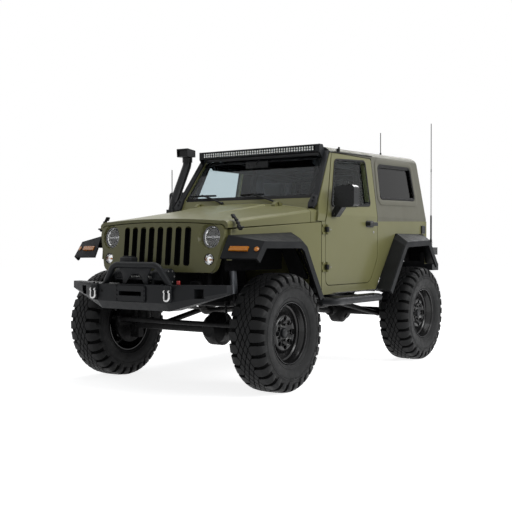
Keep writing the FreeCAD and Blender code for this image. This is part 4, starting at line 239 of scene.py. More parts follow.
def spread_of(tree, value, low, high):
    """Map the middle of a noise to a range."""
    span = tree.nodes.new("ShaderNodeMapRange")
    span.inputs["From Min"].default_value = 0.32
    span.inputs["From Max"].default_value = 0.68
    span.inputs["To Min"].default_value = low
    span.inputs["To Max"].default_value = high
    tree.links.new(value, span.inputs["Value"])
    return span.outputs["Result"]


def mottled(tree, shader, noise, first, second):
    """Colour that wanders between two tones as a noise does."""
    mix = tree.nodes.new("ShaderNodeMix")
    mix.data_type = "RGBA"
    mix.inputs["A"].default_value = (*first, 1)
    mix.inputs["B"].default_value = (*second, 1)
    tree.links.new(spread_of(tree, noise, 0, 1), mix.inputs["Factor"])
    tree.links.new(mix.outputs["Result"], shader.inputs["Base Color"])


def uneven_gloss(tree, shader, noise, low, high):
    tree.links.new(spread_of(tree, noise, low, high), shader.inputs["Roughness"])


def shaded(colour, share):
    return tuple(min(1.0, channel * share) for channel in colour)


def relief(tree, shader, height, depth, strength=1.0):
    bump = tree.nodes.new("ShaderNodeBump")
    bump.inputs["Distance"].default_value = depth
    bump.inputs["Strength"].default_value = strength
    tree.links.new(height, bump.inputs["Height"])
    tree.links.new(bump.outputs["Normal"], shader.inputs["Normal"])


def coated(name, colour, rough, share=1.0, metal=0.0, mottle=0.05, patch=2.5, grain=600.0,
           depth=0.0001, coat=0.0, coat_rough=0.15, spread=0.06, level=0.5):
    """Painted, moulded or cast surface: slow colour change, uneven gloss and a fine grain."""
    material, tree, shader = shader_of(name)
    mottled(tree, shader, noise_of(tree, patch), shaded(colour, share * (1 - mottle)),
            shaded(colour, share * (1 + mottle)))
    uneven_gloss(tree, shader, noise_of(tree, patch * 3.7, 5.0), rough - spread, rough + spread)
    relief(tree, shader, noise_of(tree, grain, 2.0), depth)
    shader.inputs["Metallic"].default_value = metal
    shader.inputs["Coat Weight"].default_value = coat
    shader.inputs["Coat Roughness"].default_value = coat_rough
    shader.inputs["Specular IOR Level"].default_value = level
    return material


# Colour, or the setting that holds it, and how each coat differs from a plain one
coats = {
    "olive_paint": ("paint.body", dict(
        rough=0.42, mottle=0.035, patch=1.4, grain=160.0, depth=0.00003, coat=0.22, coat_rough=0.16,
        spread=0.04, level=0.24)),
    "hard_top_paint": ("paint.top", dict(
        rough=0.55, patch=2.0, grain=900.0, depth=0.00012, spread=0.05, level=0.22)),
    "smooth_plastic": ("paint.trim", dict(rough=0.30, mottle=0.1, patch=6.0, depth=0.00004, level=0.18)),
    "powder_coat": ("paint.armour", dict(
        rough=0.42, mottle=0.12, patch=5.0, grain=1100.0, depth=0.0003, spread=0.08, level=0.16)),
    "chassis_enamel": ((0.0045, 0.0045, 0.0050), dict(
        rough=0.5, mottle=0.3, patch=7.0, grain=300.0, depth=0.0003, spread=0.12, level=0.10)),
    "spring_enamel": ((0.014, 0.014, 0.015), dict(rough=0.35, mottle=0.2)),
    # Near black of liners, buckets and boards, also used as painted shade on the grille's slot walls
    "liner_plastic": ((0.004, 0.004, 0.0045), dict(
        rough=0.8, mottle=0.3, patch=9.0, grain=500.0, depth=0.0004, level=0.08)),
    "cast_iron": ((0.0065, 0.0065, 0.0068), dict(
        rough=0.55, mottle=0.35, patch=12.0, grain=350.0, depth=0.0007, spread=0.12, level=0.14)),
    "wheel_enamel": ("wheels.enamel", dict(
        rough=0.22, mottle=0.12, patch=9.0, grain=90.0, depth=0.00002, coat=0.12, coat_rough=0.1, spread=0.05,
        level=0.30)),
    # Lighter than the enamel on the lip: wear, and a painted highlight
    "wheel_lip": ((0.05, 0.05, 0.053), dict(rough=0.22, mottle=0.1, patch=9.0)),
    "wheel_nuts": ((0.014, 0.014, 0.0145), dict(rough=0.26, metal=0.2, mottle=0.2, patch=30.0)),
    "bright_steel": ((0.55, 0.55, 0.55), dict(
        rough=0.24, metal=1.0, mottle=0.1, patch=20.0, grain=900.0, depth=0.00004)),
    "zinc_steel": ((0.40, 0.40, 0.39), dict(rough=0.38, metal=0.9, mottle=0.2, patch=30.0, grain=700.0)),
    "scorched_steel": ((0.030, 0.029, 0.028), dict(
        rough=0.5, metal=0.3, mottle=0.35, patch=14.0, grain=500.0, depth=0.0003, spread=0.12, level=0.2)),
    "chrome": ((0.82, 0.82, 0.83), dict(
        rough=0.06, metal=1.0, mottle=0.02, patch=15.0, grain=200.0, depth=0.00002, spread=0.03)),
    "silver_paint": ((0.15, 0.16, 0.175), dict(
        rough=0.36, metal=0.3, mottle=0.08, patch=12.0, depth=0.00005)),
    "seal_rubber": ((0.006, 0.006, 0.0065), dict(rough=0.62, mottle=0.15, patch=14.0, level=0.2)),
    "cabin_plastic": ((0.012, 0.012, 0.013), dict(
        rough=0.6, mottle=0.1, patch=7.0, grain=800.0, depth=0.00025, level=0.3)),
    # Rubber darkened to a fifth of its colour, as painted shade in the grooves between the lugs
    "groove_rubber": ("tyres.rubber", dict(
        rough=0.85, share=0.22, mottle=0.35, patch=14.0, grain=300.0, depth=0.0005, level=0.08)),
    # Dark of shut lines and joints, also painted shade in the bumper's slots and the lock's key slot
    "shut_line": ((0.010, 0.010, 0.009), dict(rough=0.8, mottle=0.2, patch=9.0, level=0.1)),
    "mirror_glass": ((0.62, 0.65, 0.68), dict(
        rough=0.03, metal=1.0, mottle=0.02, patch=6.0, grain=60.0, depth=0.000005, spread=0.01)),
    "lamp_emitter": ((0.52, 0.50, 0.36), dict(rough=0.35, mottle=0.1, patch=90.0, depth=0.00002)),
    "lamp_foil": ((0.80, 0.81, 0.83), dict(rough=0.25, metal=0.55, mottle=0.04, patch=40.0, depth=0.00002)),
    "lamp_ring": ((0.16, 0.16, 0.17), dict(rough=0.2, metal=0.9, patch=20.0)),
    "bulb_amber": ("lamps.amber", dict(rough=0.2, mottle=0.1, patch=60.0)),
    "cap_red": ((0.42, 0.015, 0.012), dict(rough=0.35, mottle=0.1, patch=30.0)),
}


def finish(name):
    """One of the coats, in the colour that the settings or the table give it."""
    if name not in made_finishes:
        colour, traits = coats[name]
        if isinstance(colour, str):
            group, value = colour.split(".")
            colour = getattr(getattr(bpy.context.scene, "vehicle_" + group), value)
        made_finishes[name] = coated(name, colour, **traits)
    return made_finishes[name]


def grained_plastic(context):
    """Moulded plastic with a leather-like grain, as on the flares."""
    material, tree, shader = shader_of("grained_plastic")
    colour = context.scene.vehicle_paint.trim
    mottled(tree, shader, noise_of(tree, 4.0), shaded(colour, 0.85), shaded(colour, 1.25))
    relief(tree, shader, texture_of(tree, "Voronoi", 420).outputs["Distance"], 0.00035)
    uneven_gloss(tree, shader, noise_of(tree, 11.0, 4.0), 0.46, 0.60)
    shader.inputs["Specular IOR Level"].default_value = 0.09
    return material


def tyre_rubber(context):
    """Dull rubber with patches of dust and a fine grain."""
    material, tree, shader = shader_of("tyre_rubber")
    colour = context.scene.vehicle_tyres.rubber
    mottled(tree, shader, noise_of(tree, 9.0, 6.0), shaded(colour, 0.8), shaded(colour, 1.30))
    uneven_gloss(tree, shader, noise_of(tree, 22.0, 4.0), 0.46, 0.62)
    relief(tree, shader, noise_of(tree, 420.0), 0.0005)
    shader.inputs["Specular IOR Level"].default_value = 0.17
    return material


def glazing(name, tint, index):
    """Sheet glass with a faint film, of a low index so that it mirrors little."""
    material, tree, shader = shader_of(name)
    shader.inputs["Transmission Weight"].default_value = 1.0
    shader.inputs["IOR"].default_value = index
    mottled(tree, shader, noise_of(tree, 1.2, 1.0), shaded(tint, 0.97), shaded(tint, 1.0))
    uneven_gloss(tree, shader, noise_of(tree, 5.0), 0.0, 0.015)
    return material


def fluted_glass(name, tint, scale, depth, direction="Y", clear=1.0):
    """Moulded lamp lens with flutes."""
    material, tree, shader = shader_of(name)
    shader.inputs["Transmission Weight"].default_value = clear
    shader.inputs["IOR"].default_value = 1.49
    mottled(tree, shader, noise_of(tree, 30.0, 1.0), shaded(tint, 0.92), tint)
    wave = texture_of(tree, "Wave", scale)
    wave.bands_direction = direction
    relief(tree, shader, wave.outputs["Fac"], depth)
    uneven_gloss(tree, shader, noise_of(tree, 60.0, 2.0), 0.03, 0.09)
    return material


def woven_cloth(context):
    """Tight weave of the seat cloth."""
    material, tree, shader = shader_of("seat_cloth")
    colour = context.scene.vehicle_cabin.fabric
    mottled(tree, shader, noise_of(tree, 12.0, 4.0), shaded(colour, 0.8), shaded(colour, 1.3))
    relief(tree, shader, texture_of(tree, "Voronoi", 700).outputs["Distance"], 0.0002, 0.5)
    shader.inputs["Roughness"].default_value = 0.85
    shader.inputs["Sheen Weight"].default_value = 0.3
    return material


# Building helpers

def piece(name, bm, body, finishes, stands_for=(), edge=0.0, segments=2, crease=32):
    """Object from a bmesh, shaded smooth up to a crease angle, riding on a body."""
    for face in bm.faces:
        face.smooth = True
    mesh = bpy.data.meshes.new(name)
    bm.to_mesh(mesh)
    bm.free()
    for finish in finishes if isinstance(finishes, (list, tuple)) else [finishes]:
        mesh.materials.append(finish)
    mesh.set_sharp_from_angle(angle=math.radians(crease))
    made = bpy.data.objects.new(name, mesh)
    bpy.context.scene.collection.objects.link(made)
    if edge:
        rounding = made.modifiers.new("edge", "BEVEL")
        rounding.width = edge
        rounding.segments = segments
        rounding.limit_method = "ANGLE"
        rounding.angle_limit = math.radians(crease)
        rounding.use_clamp_overlap = True
        rounding.miter_outer = "MITER_ARC"
        weighted = made.modifiers.new("shade", "WEIGHTED_NORMAL")
        weighted.keep_sharp = True
        weighted.weight = 60
    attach(made, body)
    if stands_for:
        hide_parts(*stands_for)
    return made


def moved(bm, matrix):
    bmesh.ops.transform(bm, matrix=matrix, verts=bm.verts)
    return bm


def tinted(bm, tint):
    """Give every face the finish that its middle and its normal call for."""
    for face in bm.faces:
        face.material_index = tint(face.calc_center_median(), face.normal)
    return bm


def bevelled(bm, geom, offset, segments=2, affect="EDGES"):
    """Round edges, or the corners of a flat outline, as far as they don't overlap."""
    bmesh.ops.bevel(bm, geom=geom, offset=offset, offset_type="OFFSET", segments=segments, profile=0.5,
                    affect=affect, clamp_overlap=True, material=-1)


def thickened(bm, step):
    """Extrude a flat sheet by a step."""
    made = bmesh.ops.extrude_face_region(bm, geom=bm.faces[:])
    raised = [item for item in made["geom"] if isinstance(item, bmesh.types.BMVert)]
    bmesh.ops.translate(bm, vec=step, verts=raised)
    bmesh.ops.recalc_face_normals(bm, faces=bm.faces)


def sheet(points, corner=0.0, segments=5):
    """Flat face through points, with its corners rounded."""
    bm = bmesh.new()
    bm.faces.new([bm.verts.new(point) for point in points])
    if corner:
        bevelled(bm, bm.verts[:], corner, segments, "VERTICES")
    return bm


def sided(bm, hand):
    """Mirror image of a piece drawn on the left, when the hand is the right."""
    if hand < 0:
        bmesh.ops.scale(bm, vec=(1, -1, 1), verts=bm.verts)
        bmesh.ops.reverse_faces(bm, faces=bm.faces)
    return bm


def wall_y(z):
    """Half width of the body at a height, where its side leans in above the knee."""
    return side_y - tumblehome * max(z - knee_z, 0)


def copied(node, keep=None):
    """Merged copy of a node's mesh, with its flat faces joined."""
    bm = bmesh.new()
    bm.from_mesh(frame["nodes"][node].data)
    bmesh.ops.remove_doubles(bm, verts=bm.verts, dist=0.00002)
    if keep:
        gone = [face for face in bm.faces if not keep(face.calc_center_median())]
        bmesh.ops.delete(bm, geom=gone, context="FACES")
    bmesh.ops.dissolve_limit(bm, angle_limit=math.radians(0.8), verts=bm.verts, edges=bm.edges)
    return bm


def scored(bm, lines):
    """Cut narrow bands across a shape, each at a place along an axis, for shut lines and joints."""
    for axis, place in lines:
        normal = Vector([1 if index == axis else 0 for index in range(3)])
        for at in (place - shut_width / 2, place + shut_width / 2):
            bmesh.ops.bisect_plane(bm, geom=bm.verts[:] + bm.edges[:] + bm.faces[:], plane_co=normal * at,
                                   plane_no=normal)


def dressed(node, finishes, edge=0.003, segments=2, tint=None, crease=32, lines=()):
    """The node's own shape with rounded edges and a finish; tint picks a finish by a face's place."""
    bm = copied(node)
    scored(bm, lines)
    if tint:
        tinted(bm, tint)
    return piece(node + "_finished", bm, body_of_node[node], finishes, (node,), edge, segments, crease)


def spun(profile, steps, closed=False):
    """Bmesh of a profile of radius and height turned all the way round the Y axis."""
    bm = bmesh.new()
    verts = [bm.verts.new((radius, height, 0)) for radius, height in profile]
    edges = [bm.edges.new(ends) for ends in zip(verts, verts[1:])]
    if closed:
        edges.append(bm.edges.new((verts[-1], verts[0])))
    bmesh.ops.spin(bm, geom=verts + edges, cent=(0, 0, 0), axis=(0, 1, 0), angle=math.tau, steps=steps,
                   use_merge=True)
    bmesh.ops.remove_doubles(bm, verts=bm.verts, dist=0.00001)
    bmesh.ops.recalc_face_normals(bm, faces=bm.faces)
    return bm


def added(bm, other, matrix=None, index=None):
    """Put another bmesh into this one, placed by a matrix and given a finish index."""
    if matrix is not None:
        moved(other, matrix)
        if matrix.determinant() < 0:
            bmesh.ops.reverse_faces(other, faces=other.faces)
    if index is not None:
        for face in other.faces:
            face.material_index = index
    scratch = bpy.data.meshes.new("scratch")
    other.to_mesh(scratch)
    other.free()
    bm.from_mesh(scratch)
    bpy.data.meshes.remove(scratch)
    return bm


def block(x0, x1, y0, y1, z0, z1, edge=0.0, segments=2):
    bm = bmesh.new()
    bmesh.ops.create_cube(bm, size=1)
    size = Matrix.Diagonal((abs(x1 - x0), abs(y1 - y0), abs(z1 - z0), 1))
    centre = Matrix.Translation(((x0 + x1) / 2, (y0 + y1) / 2, (z0 + z1) / 2))
    moved(bm, centre @ size)
    if edge:
        bevelled(bm, bm.edges[:], edge, segments)
    return bm


def rod(start, end, radius, sides=20, edge=0.0, end_radius=None):
    start, end = Vector(start), Vector(end)
    bm = bmesh.new()
    bmesh.ops.create_cone(bm, cap_ends=True, segments=sides, radius1=radius, radius2=end_radius or radius,
                          depth=(end - start).length)
    if edge:
        rims = [e for e in bm.edges if abs(e.verts[0].co.z - e.verts[1].co.z) < 1e-6]
        bevelled(bm, rims, edge)
    turn = (end - start).to_track_quat("Z", "Y").to_matrix().to_4x4()
    moved(bm, Matrix.Translation((start + end) / 2) @ turn)
    return bm


def pin(middle, half, radius, sides, edge):
    """Rod through a place, as far to one side of it as to the other."""
    middle, half = Vector(middle), Vector(half)
    return rod(middle - half, middle + half, radius, sides, edge)


def hex_bolt(at, direction, across=0.019, height=0.009):
    """Hex head on a washer."""
    at, direction = Vector(at), Vector(direction).normalized()
    seat, top = at + direction * height * 0.3, at + direction * height
    return added(rod(at, seat, across * 0.68, 16), rod(seat, top, across * 0.5, 6, edge=across * 0.06))


def ring(radius, thickness, steps=48, sides=12, squash=1.0):
    """Torus about the Y axis."""
    profile = [
        (radius + thickness * math.cos(turn), thickness * squash * math.sin(turn))
        for turn in (math.tau * index / sides for index in range(sides))
    ]
    return spun(profile, steps, closed=True)


def tube(points, radius, sides=3):
    """Bmesh of a round bar along a smooth spline."""
    curve = bpy.data.curves.new("route", "CURVE")
    curve.dimensions = "3D"
    curve.bevel_depth = radius
    curve.bevel_resolution = sides
    curve.resolution_u = 6
    curve.use_fill_caps = True
    spline = curve.splines.new("NURBS")
    spline.points.add(len(points) - 1)
    for target, point in zip(spline.points, points):
        target.co = (*point, 1)
    spline.order_u = 3
    spline.use_endpoint_u = True
    holder = bpy.data.objects.new("route", curve)
    bpy.context.scene.collection.objects.link(holder)
    bpy.context.view_layer.update()
    mesh = bpy.data.meshes.new_from_object(holder)
    bm = bmesh.new()
    bm.from_mesh(mesh)
    bpy.data.objects.remove(holder)
    bpy.data.curves.remove(curve)
    bpy.data.meshes.remove(mesh)
    bmesh.ops.remove_doubles(bm, verts=bm.verts, dist=0.00001)
    bmesh.ops.recalc_face_normals(bm, faces=bm.faces)
    return bm


def plate(outline, thickness, corner=0.0, edge=0.0):
    """Bmesh of a flat plate in X and Z with rounded corners, from Y = 0 to its thickness."""
    bm = sheet([(x, 0, z) for x, z in outline], corner)
    thickened(bm, (0, thickness, 0))
    if edge:
        rims = [e for e in bm.edges if abs(e.verts[0].co.y - e.verts[1].co.y) < 1e-7]
        bevelled(bm, rims, edge)
    return bm


def border(outline, corner, width, depth):
    """Bmesh of a flat rounded border inside an outline in X and Z, from Y = 0 to its depth."""
    bm = sheet([(x, 0, z) for x, z in outline], corner, 6)
    made = bmesh.ops.inset_region(bm, faces=bm.faces[:], thickness=width, use_even_offset=True,
                                  use_boundary=True)
    inner = [face for face in bm.faces if face not in made["faces"]]
    bmesh.ops.delete(bm, geom=inner, context="FACES")
    thickened(bm, (0, depth, 0))
    rims = [e for e in bm.edges if len(e.link_faces) == 2 and e.calc_face_angle(0) > 1.2]
    bevelled(bm, rims, depth * 0.3)
    return bm


def onto_wall(bm, hand, lift=0.0):
    """Lay a piece drawn at Y = 0 on the leaning side of the body."""
    for vert in bm.verts:
        vert.co.y += wall_y(vert.co.z) + lift
    return sided(bm, hand)


def front_sheet(outline, x0, x1, edge=0.0):
    """Flat plate from an outline of Y and Z between two places along X."""
    bm = plate(outline, x1 - x0, 0.0, edge)
    for vert in bm.verts:
        across, deep, up = vert.co
        vert.co = Vector((x0 + deep, across, up))
    bmesh.ops.recalc_face_normals(bm, faces=bm.faces)
    return bm


def both_sides(bm):
    return added(bm, sided(bm.copy(), -1))


def grille_place(place, hand):
    """Matrix at a place on the leaning grille, on either hand, with X out of its face."""
    x, y, z = place
    upright = Vector((x, y * hand, z)) - grille_pivot
    turn = Matrix.Rotation(grille_lean, 4, "Y")
    return Matrix.Translation(grille_pivot + (turn @ upright)) @ turn


def screen_place(x, y, up):
    """Matrix at a place on the leaning windscreen, with X out of its face."""
    turn = Matrix.Rotation(screen_lean, 4, "Y")
    return Matrix.Translation(screen_foot + (turn @ Vector((x, y, up)))) @ turn


# Stage

class VEHICLE_OT_stage(Operator):
    """Floor, room light, lamps and the camera at the photograph's view"""

    bl_idname = "vehicle.stage"
    bl_label = "Stage"

    def execute(self, context):
        settings = context.scene.vehicle_stage
        level = math.cos(camera_pitch)
        looking = Vector((level * math.cos(camera_yaw), level * math.sin(camera_yaw), math.sin(camera_pitch)))
        lens = bpy.data.cameras.new("camera")
        lens.lens = settings.lens
        lens.sensor_width = 36
        lens.clip_end = 200
        camera = bpy.data.objects.new("camera", lens)
        camera.location = camera_eye
        camera.rotation_mode = "QUATERNION"
        camera.rotation_quaternion = looking.to_track_quat("-Z", "Y")
        context.scene.collection.objects.link(camera)
        context.scene.camera = camera
        self.floor(context)
        self.room(context, settings)
        for name, at, target, width, depth in (
            ("key", (-0.9, 7.8, 4.6), (-0.2, 0, 1.0), 5.5, 2.6),
            ("top", (-0.2, 0.6, 6.4), (0, 0, 0), 6.0, 3.6),
            ("edge", (-7.2, 0.4, 5.4), (0.4, 0.3, 1.2), 4.6, 1.1),
        ):
            self.lamp(context, name + "_lamp", at, target, getattr(settings, name), width, depth)
        context.scene.view_settings.view_transform = "Standard"
        return {"FINISHED"}

    def floor(self, context):
        """Round pale floor that glows only where the backdrop is seen."""
        bm = bmesh.new()
        bmesh.ops.create_circle(bm, cap_ends=True, segments=96, radius=40)
        mesh = bpy.data.meshes.new("floor")
        bm.to_mesh(mesh)
        bm.free()
        floor = bpy.data.objects.new("floor", mesh)
        context.scene.collection.objects.link(floor)
        material = bpy.data.materials.new("pale_floor")
        material.use_nodes = True
        tree = material.node_tree
        tree.nodes.clear()
        output = tree.nodes.new("ShaderNodeOutputMaterial")
        plain = tree.nodes.new("ShaderNodeBsdfDiffuse")
        speckle = noise_of(tree, 40.0)
        tone = tree.nodes.new("ShaderNodeMix")
        tone.data_type = "RGBA"
        tone.inputs["A"].default_value = (0.80, 0.80, 0.80, 1)
        tone.inputs["B"].default_value = (0.84, 0.84, 0.84, 1)
        tree.links.new(speckle, tone.inputs["Factor"])
        tree.links.new(tone.outputs["Result"], plain.inputs["Color"])
        glow = tree.nodes.new("ShaderNodeEmission")
        glow.inputs["Strength"].default_value = 0.85
        both = tree.nodes.new("ShaderNodeAddShader")
        pick = tree.nodes.new("ShaderNodeMixShader")
        seen = self.seen(tree)
        tree.links.new(plain.outputs["BSDF"], both.inputs[0])
        tree.links.new(glow.outputs["Emission"], both.inputs[1])
        tree.links.new(seen, pick.inputs["Fac"])
        tree.links.new(plain.outputs["BSDF"], pick.inputs[1])
        tree.links.new(both.outputs["Shader"], pick.inputs[2])
        tree.links.new(pick.outputs["Shader"], output.inputs["Surface"])
        mesh.materials.append(material)

    def seen(self, tree):
        """One for camera, mirror and glass rays, which show the backdrop."""
        path = tree.nodes.new("ShaderNodeLightPath")
        first = tree.nodes.new("ShaderNodeMath")
        first.operation = "MAXIMUM"
        second = tree.nodes.new("ShaderNodeMath")
        second.operation = "MAXIMUM"
        tree.links.new(path.outputs["Is Camera Ray"], first.inputs[0])
        tree.links.new(path.outputs["Is Glossy Ray"], first.inputs[1])
        tree.links.new(first.outputs["Value"], second.inputs[0])
        tree.links.new(path.outputs["Is Transmission Ray"], second.inputs[1])
        return second.outputs["Value"]

    def room(self, context, settings):
        """White backdrop to the eye, and a soft light from all round to the pieces."""
        world = bpy.data.worlds.new("room")
        context.scene.world = world
        world.use_nodes = True
        tree = world.node_tree
        tree.nodes.clear()
        output = tree.nodes.new("ShaderNodeOutputWorld")
        soft = tree.nodes.new("ShaderNodeBackground")
        soft.inputs["Color"].default_value = (0.93, 0.96, 1.0, 1)
        soft.inputs["Strength"].default_value = settings.room
        white = tree.nodes.new("ShaderNodeBackground")
        white.inputs["Color"].default_value = (1, 1, 1, 1)
        white.inputs["Strength"].default_value = 1.0
        pick = tree.nodes.new("ShaderNodeMixShader")
        tree.links.new(self.seen(tree), pick.inputs["Fac"])
        tree.links.new(soft.outputs["Background"], pick.inputs[1])
        tree.links.new(white.outputs["Background"], pick.inputs[2])
        tree.links.new(pick.outputs["Shader"], output.inputs["Surface"])

    def lamp(self, context, name, at, target, power, width, depth):
        """Rectangular lamp at a place, turned to a target."""
        light = bpy.data.lights.new(name, "AREA")
        light.shape = "RECTANGLE"
        light.size = width
        light.size_y = depth
        light.energy = power
        lamp = bpy.data.objects.new(name, light)
        lamp.location = at
        lamp.rotation_mode = "QUATERNION"
        lamp.rotation_quaternion = (Vector(target) - Vector(at)).to_track_quat("-Z", "Y")
        context.scene.collection.objects.link(lamp)


# Body panels

class VEHICLE_OT_panels(Operator):
    """Painted sheet panels with rounded edges, and the hard top"""

    bl_idname = "vehicle.panels"
    bl_label = "Painted panels"

    def execute(self, context):
        paint, edge = finish("olive_paint"), context.scene.vehicle_paint.panel_edge
        top, dark, line = finish("hard_top_paint"), finish("liner_plastic"), finish("shut_line")
        lining = finish("cabin_plastic")

        def tub_side(at, normal):
            """Body colour outside, lining inside, and dark underneath, in the arches and in the seams."""
            in_seam = any(abs(at.x - seam) < shut_width / 2 for seam in tub_seams)
            if in_seam and at.z > 1.30 and abs(at.y) > 0.55:
                return 3
            if at.z < 1.27 and abs(at.y) < side_y - 0.012 and (at.x < -0.56 or at.x > 0.45):
                return 2 if normal.z < 0.6 and abs(at.y) > 0.5 else 1
            if normal.z < -0.6:
                return 2
            return 1 if abs(at.y) < side_y - 0.03 and -1.655 < at.x < 0.55 else 0

        def fender_side(at, normal):
            """Dark underneath and on the inner walls."""
            return 1 if normal.z < -0.2 or abs(at.y) < 0.60 and abs(normal.y) > 0.7 else 0

        def leaf_inside(at, normal):
            """Lining on the cabin side of a door."""
            return 1 if abs(at.y) < wall_y(at.z) - 0.006 and normal.y * at.y < 0 else 0

        def top_side(at, normal):
            """Lining inside the hard top, and a dark joint across its roof."""
            if abs(at.x - roof_seam) < 0.0016 and at.z > 1.9:
                return 2
            inside = normal.y * at.y < 0 and abs(at.y) < wall_y(at.z) - 0.004
            return 1 if inside or normal.z < -0.5 else 0

        def frame_side(at, normal):
            """Lining on the faces that look into the cabin."""
            return 1 if normal.x < -0.4 or normal.z < -0.6 else 0

        def slot_side(at, normal):
            """Dark behind the grille, and on the side walls of its slots as painted shade."""
            return 1 if normal.x < -0.4 or abs(at.y) < 0.40 and abs(normal.y) > 0.7 else 0

        def flare_side(at, normal):
            """Dark underneath and on the side towards the wheel."""
            return 1 if normal.z < -0.5 or abs(at.y) < side_y - 0.02 and normal.y * at.y < 0 else 0

        dressed("body_tub", [paint, lining, dark, line], edge, tint=tub_side,
                lines=[(0, seam) for seam in tub_seams])
        dressed("front_fenders", [paint, dark], edge, tint=fender_side)
        dressed("tailgate", paint, edge)
        self.hood(paint, dark, edge)
        # The slots' side walls take the dark finish as painted shade
        dressed("grille_panel", [paint, dark], 0.007, 3, tint=slot_side)
        for side in ("left", "right"):
            dressed("door_" + side, [paint, lining], edge, tint=leaf_inside)
        dressed("hard_top", [top, lining, line], 0.006, 3, tint=top_side,
                lines=[(0, roof_seam)])
        dressed("windscreen_frame", [paint, lining], edge, tint=frame_side)
        self.screen_apron(paint)
        dressed("inner_fenders", dark, 0.002)
        dressed("fender_flares", [grained_plastic(context), dark], 0.013, 4, tint=flare_side)
        return {"FINISHED"}

    def hood(self, paint, dark, edge):
        """Hood with a broad rounding along both shoulders."""
        bm = copied("hood")
        crests = [
            e for e in bm.edges
            if len(e.link_faces) == 2 and 0.15 < e.calc_face_angle(0) < 1.2
            and all(v.co.z > 1.27 and 0.40 < abs(v.co.y) < 0.775 for v in e.verts)
            and abs(e.verts[0].co.x - e.verts[1].co.x) > 0.5 * (e.verts[0].co - e.verts[1].co).length
            and all(face.normal.z > 0.05 or abs(face.normal.y) > 0.9 for face in e.link_faces)
            and (e.verts[0].co - e.verts[1].co).length > 0.05
        ]
        bevelled(bm, crests, hood_round, 8)
        tinted(bm, lambda at, normal: 1 if normal.z < -0.35 else 0)
        piece("hood_finished", bm, "hood", [paint, dark], ("hood",), edge, 3, crease=22)

    def screen_apron(self, paint):
        """Sheet that closes the foot of the windscreen frame down onto the cowl."""
        bm = block(-0.010, -0.0005, -0.690, 0.690, -0.062, 0.006, 0.002, 1)
        moved(bm, screen_place(0, 0, 0))
        piece("screen_apron", bm, "chassis", paint)


# Steel parts

class VEHICLE_OT_armour(Operator):
    """Bumpers, side steps, snorkel, winch and light bar in their coats, with hoop plate and shackles"""

    bl_idname = "vehicle.armour"
    bl_label = "Bumpers and steps"

    def execute(self, context):
        coat, edge = finish("powder_coat"), context.scene.vehicle_paint.armour_edge
        for node, rounding in (("front_bumper", edge), ("rear_bumper", edge), ("side_steps", 0.002)):
            dressed(node, coat, rounding)
        dressed("snorkel", finish("smooth_plastic"), 0.004)
        dressed("light_bar", coat, 0.002)
        dressed("spare_carrier", coat, 0.003)
        dressed("winch", [coat, finish("zinc_steel")], 0.003)
        self.bar_legs(coat)
        self.hoop_plate(coat)
        self.shackles(coat)
        return {"FINISHED"}

    def bar_legs(self, coat):
        """Flat legs of the light bar up both screen posts, on wider feet, and a black strip across the header
        between, partly black parts and partly painted shade under the bar.
        """
        bm = bmesh.new()
        leg = front_sheet([(0.714, 0.0), (0.767, 0.0), (0.699, 0.566), (0.644, 0.566)], 0.0006, 0.016, 0.003)
        foot_outline = [(0.700, -0.052), (0.752, -0.052), (0.768, -0.010), (0.760, 0.066), (0.700, 0.082),
                        (0.688, -0.010)]
        foot = front_sheet(foot_outline, 0.0006, 0.026, 0.004)
        added(leg, foot)
        for up in (0.012, 0.048):
            added(leg, hex_bolt((0.030, 0.728, up), (1, 0, 0), 0.016, 0.007))
        added(bm, both_sides(leg))
        # Black strip across the header: partly black parts, partly painted shade under the light bar
        added(bm, block(0.0006, 0.006, -0.640, 0.640, 0.524, 0.566, 0.001, 1))
        moved(bm, screen_place(0, 0, 0))
        piece("light_bar_legs", bm, "chassis", coat)

    def hoop_plate(self, coat):
        """Arched plate that stands in the hoop in front of the winch, and the winch's control box."""
        outline = [
            (-0.126, bumper_top_z), (-0.098, bumper_top_z), (-0.060, 0.886), (-0.034, 0.914),
            (0.034, 0.914), (0.060, 0.886), (0.098, bumper_top_z), (0.126, bumper_top_z),
            (0.126, 0.892), (0.168, 0.962), (-0.168, 0.962), (-0.126, 0.892),
        ]
        bm = front_sheet(outline, 1.893, 1.903, 0.001)
        arch = [(1.901, y, z) for y, z in ((-0.098, 0.832), (-0.062, 0.884), (-0.036, 0.912), (0.036, 0.912),
                                           (0.062, 0.884), (0.098, 0.832))]
        added(bm, tube(arch, 0.0045, sides=2))
        added(bm, block(1.760, 1.850, -0.212, -0.098, 0.944, 1.034, 0.012, 3))
        added(bm, block(1.770, 1.840, -0.190, -0.120, 1.030, 1.042, 0.005, 2))
        piece("hoop_plate", bm, "chassis", coat)

    def shackles(self, coat):
        """Bow shackles with round pins on their lugs."""
        bm = bmesh.new()
        half = 0.0215
        for hand in (1, -1):
            eye = Vector((shackle_eye.x, shackle_eye.y * hand, shackle_eye.z))
            bow = [eye + Vector(step) for step in (
                (0, -half, 0.004), (0.001, -half, -0.020), (0.003, -half * 1.1, -0.046),
                (0.006, -half * 0.7, -0.062), (0.007, 0, -0.066), (0.006, half * 0.7, -0.062),
                (0.003, half * 1.1, -0.046), (0.001, half, -0.020), (0, half, 0.004))]
            added(bm, tube(bow, 0.0080), index=0)
            guard = block(1.9525, 1.9700, -0.033, 0.033, 0.716, 0.826, 0.006, 2)
            added(bm, guard, Matrix.Translation((0, eye.y, 0)), 1)
            for side in (-1, 1):
                at = eye + Vector((0, half * side, 0))
                added(bm, pin(at, (0, 0.006, 0), 0.0125, 20, 0.002), index=0)
            added(bm, pin(eye, (0, 0.034, 0), 0.0075, 16, 0.001), index=1)
        finishes = [finish("bright_steel"), coat]
        piece("shackle_bows", bm, "chassis", finishes, ("tow_shackles",))


# Running gear

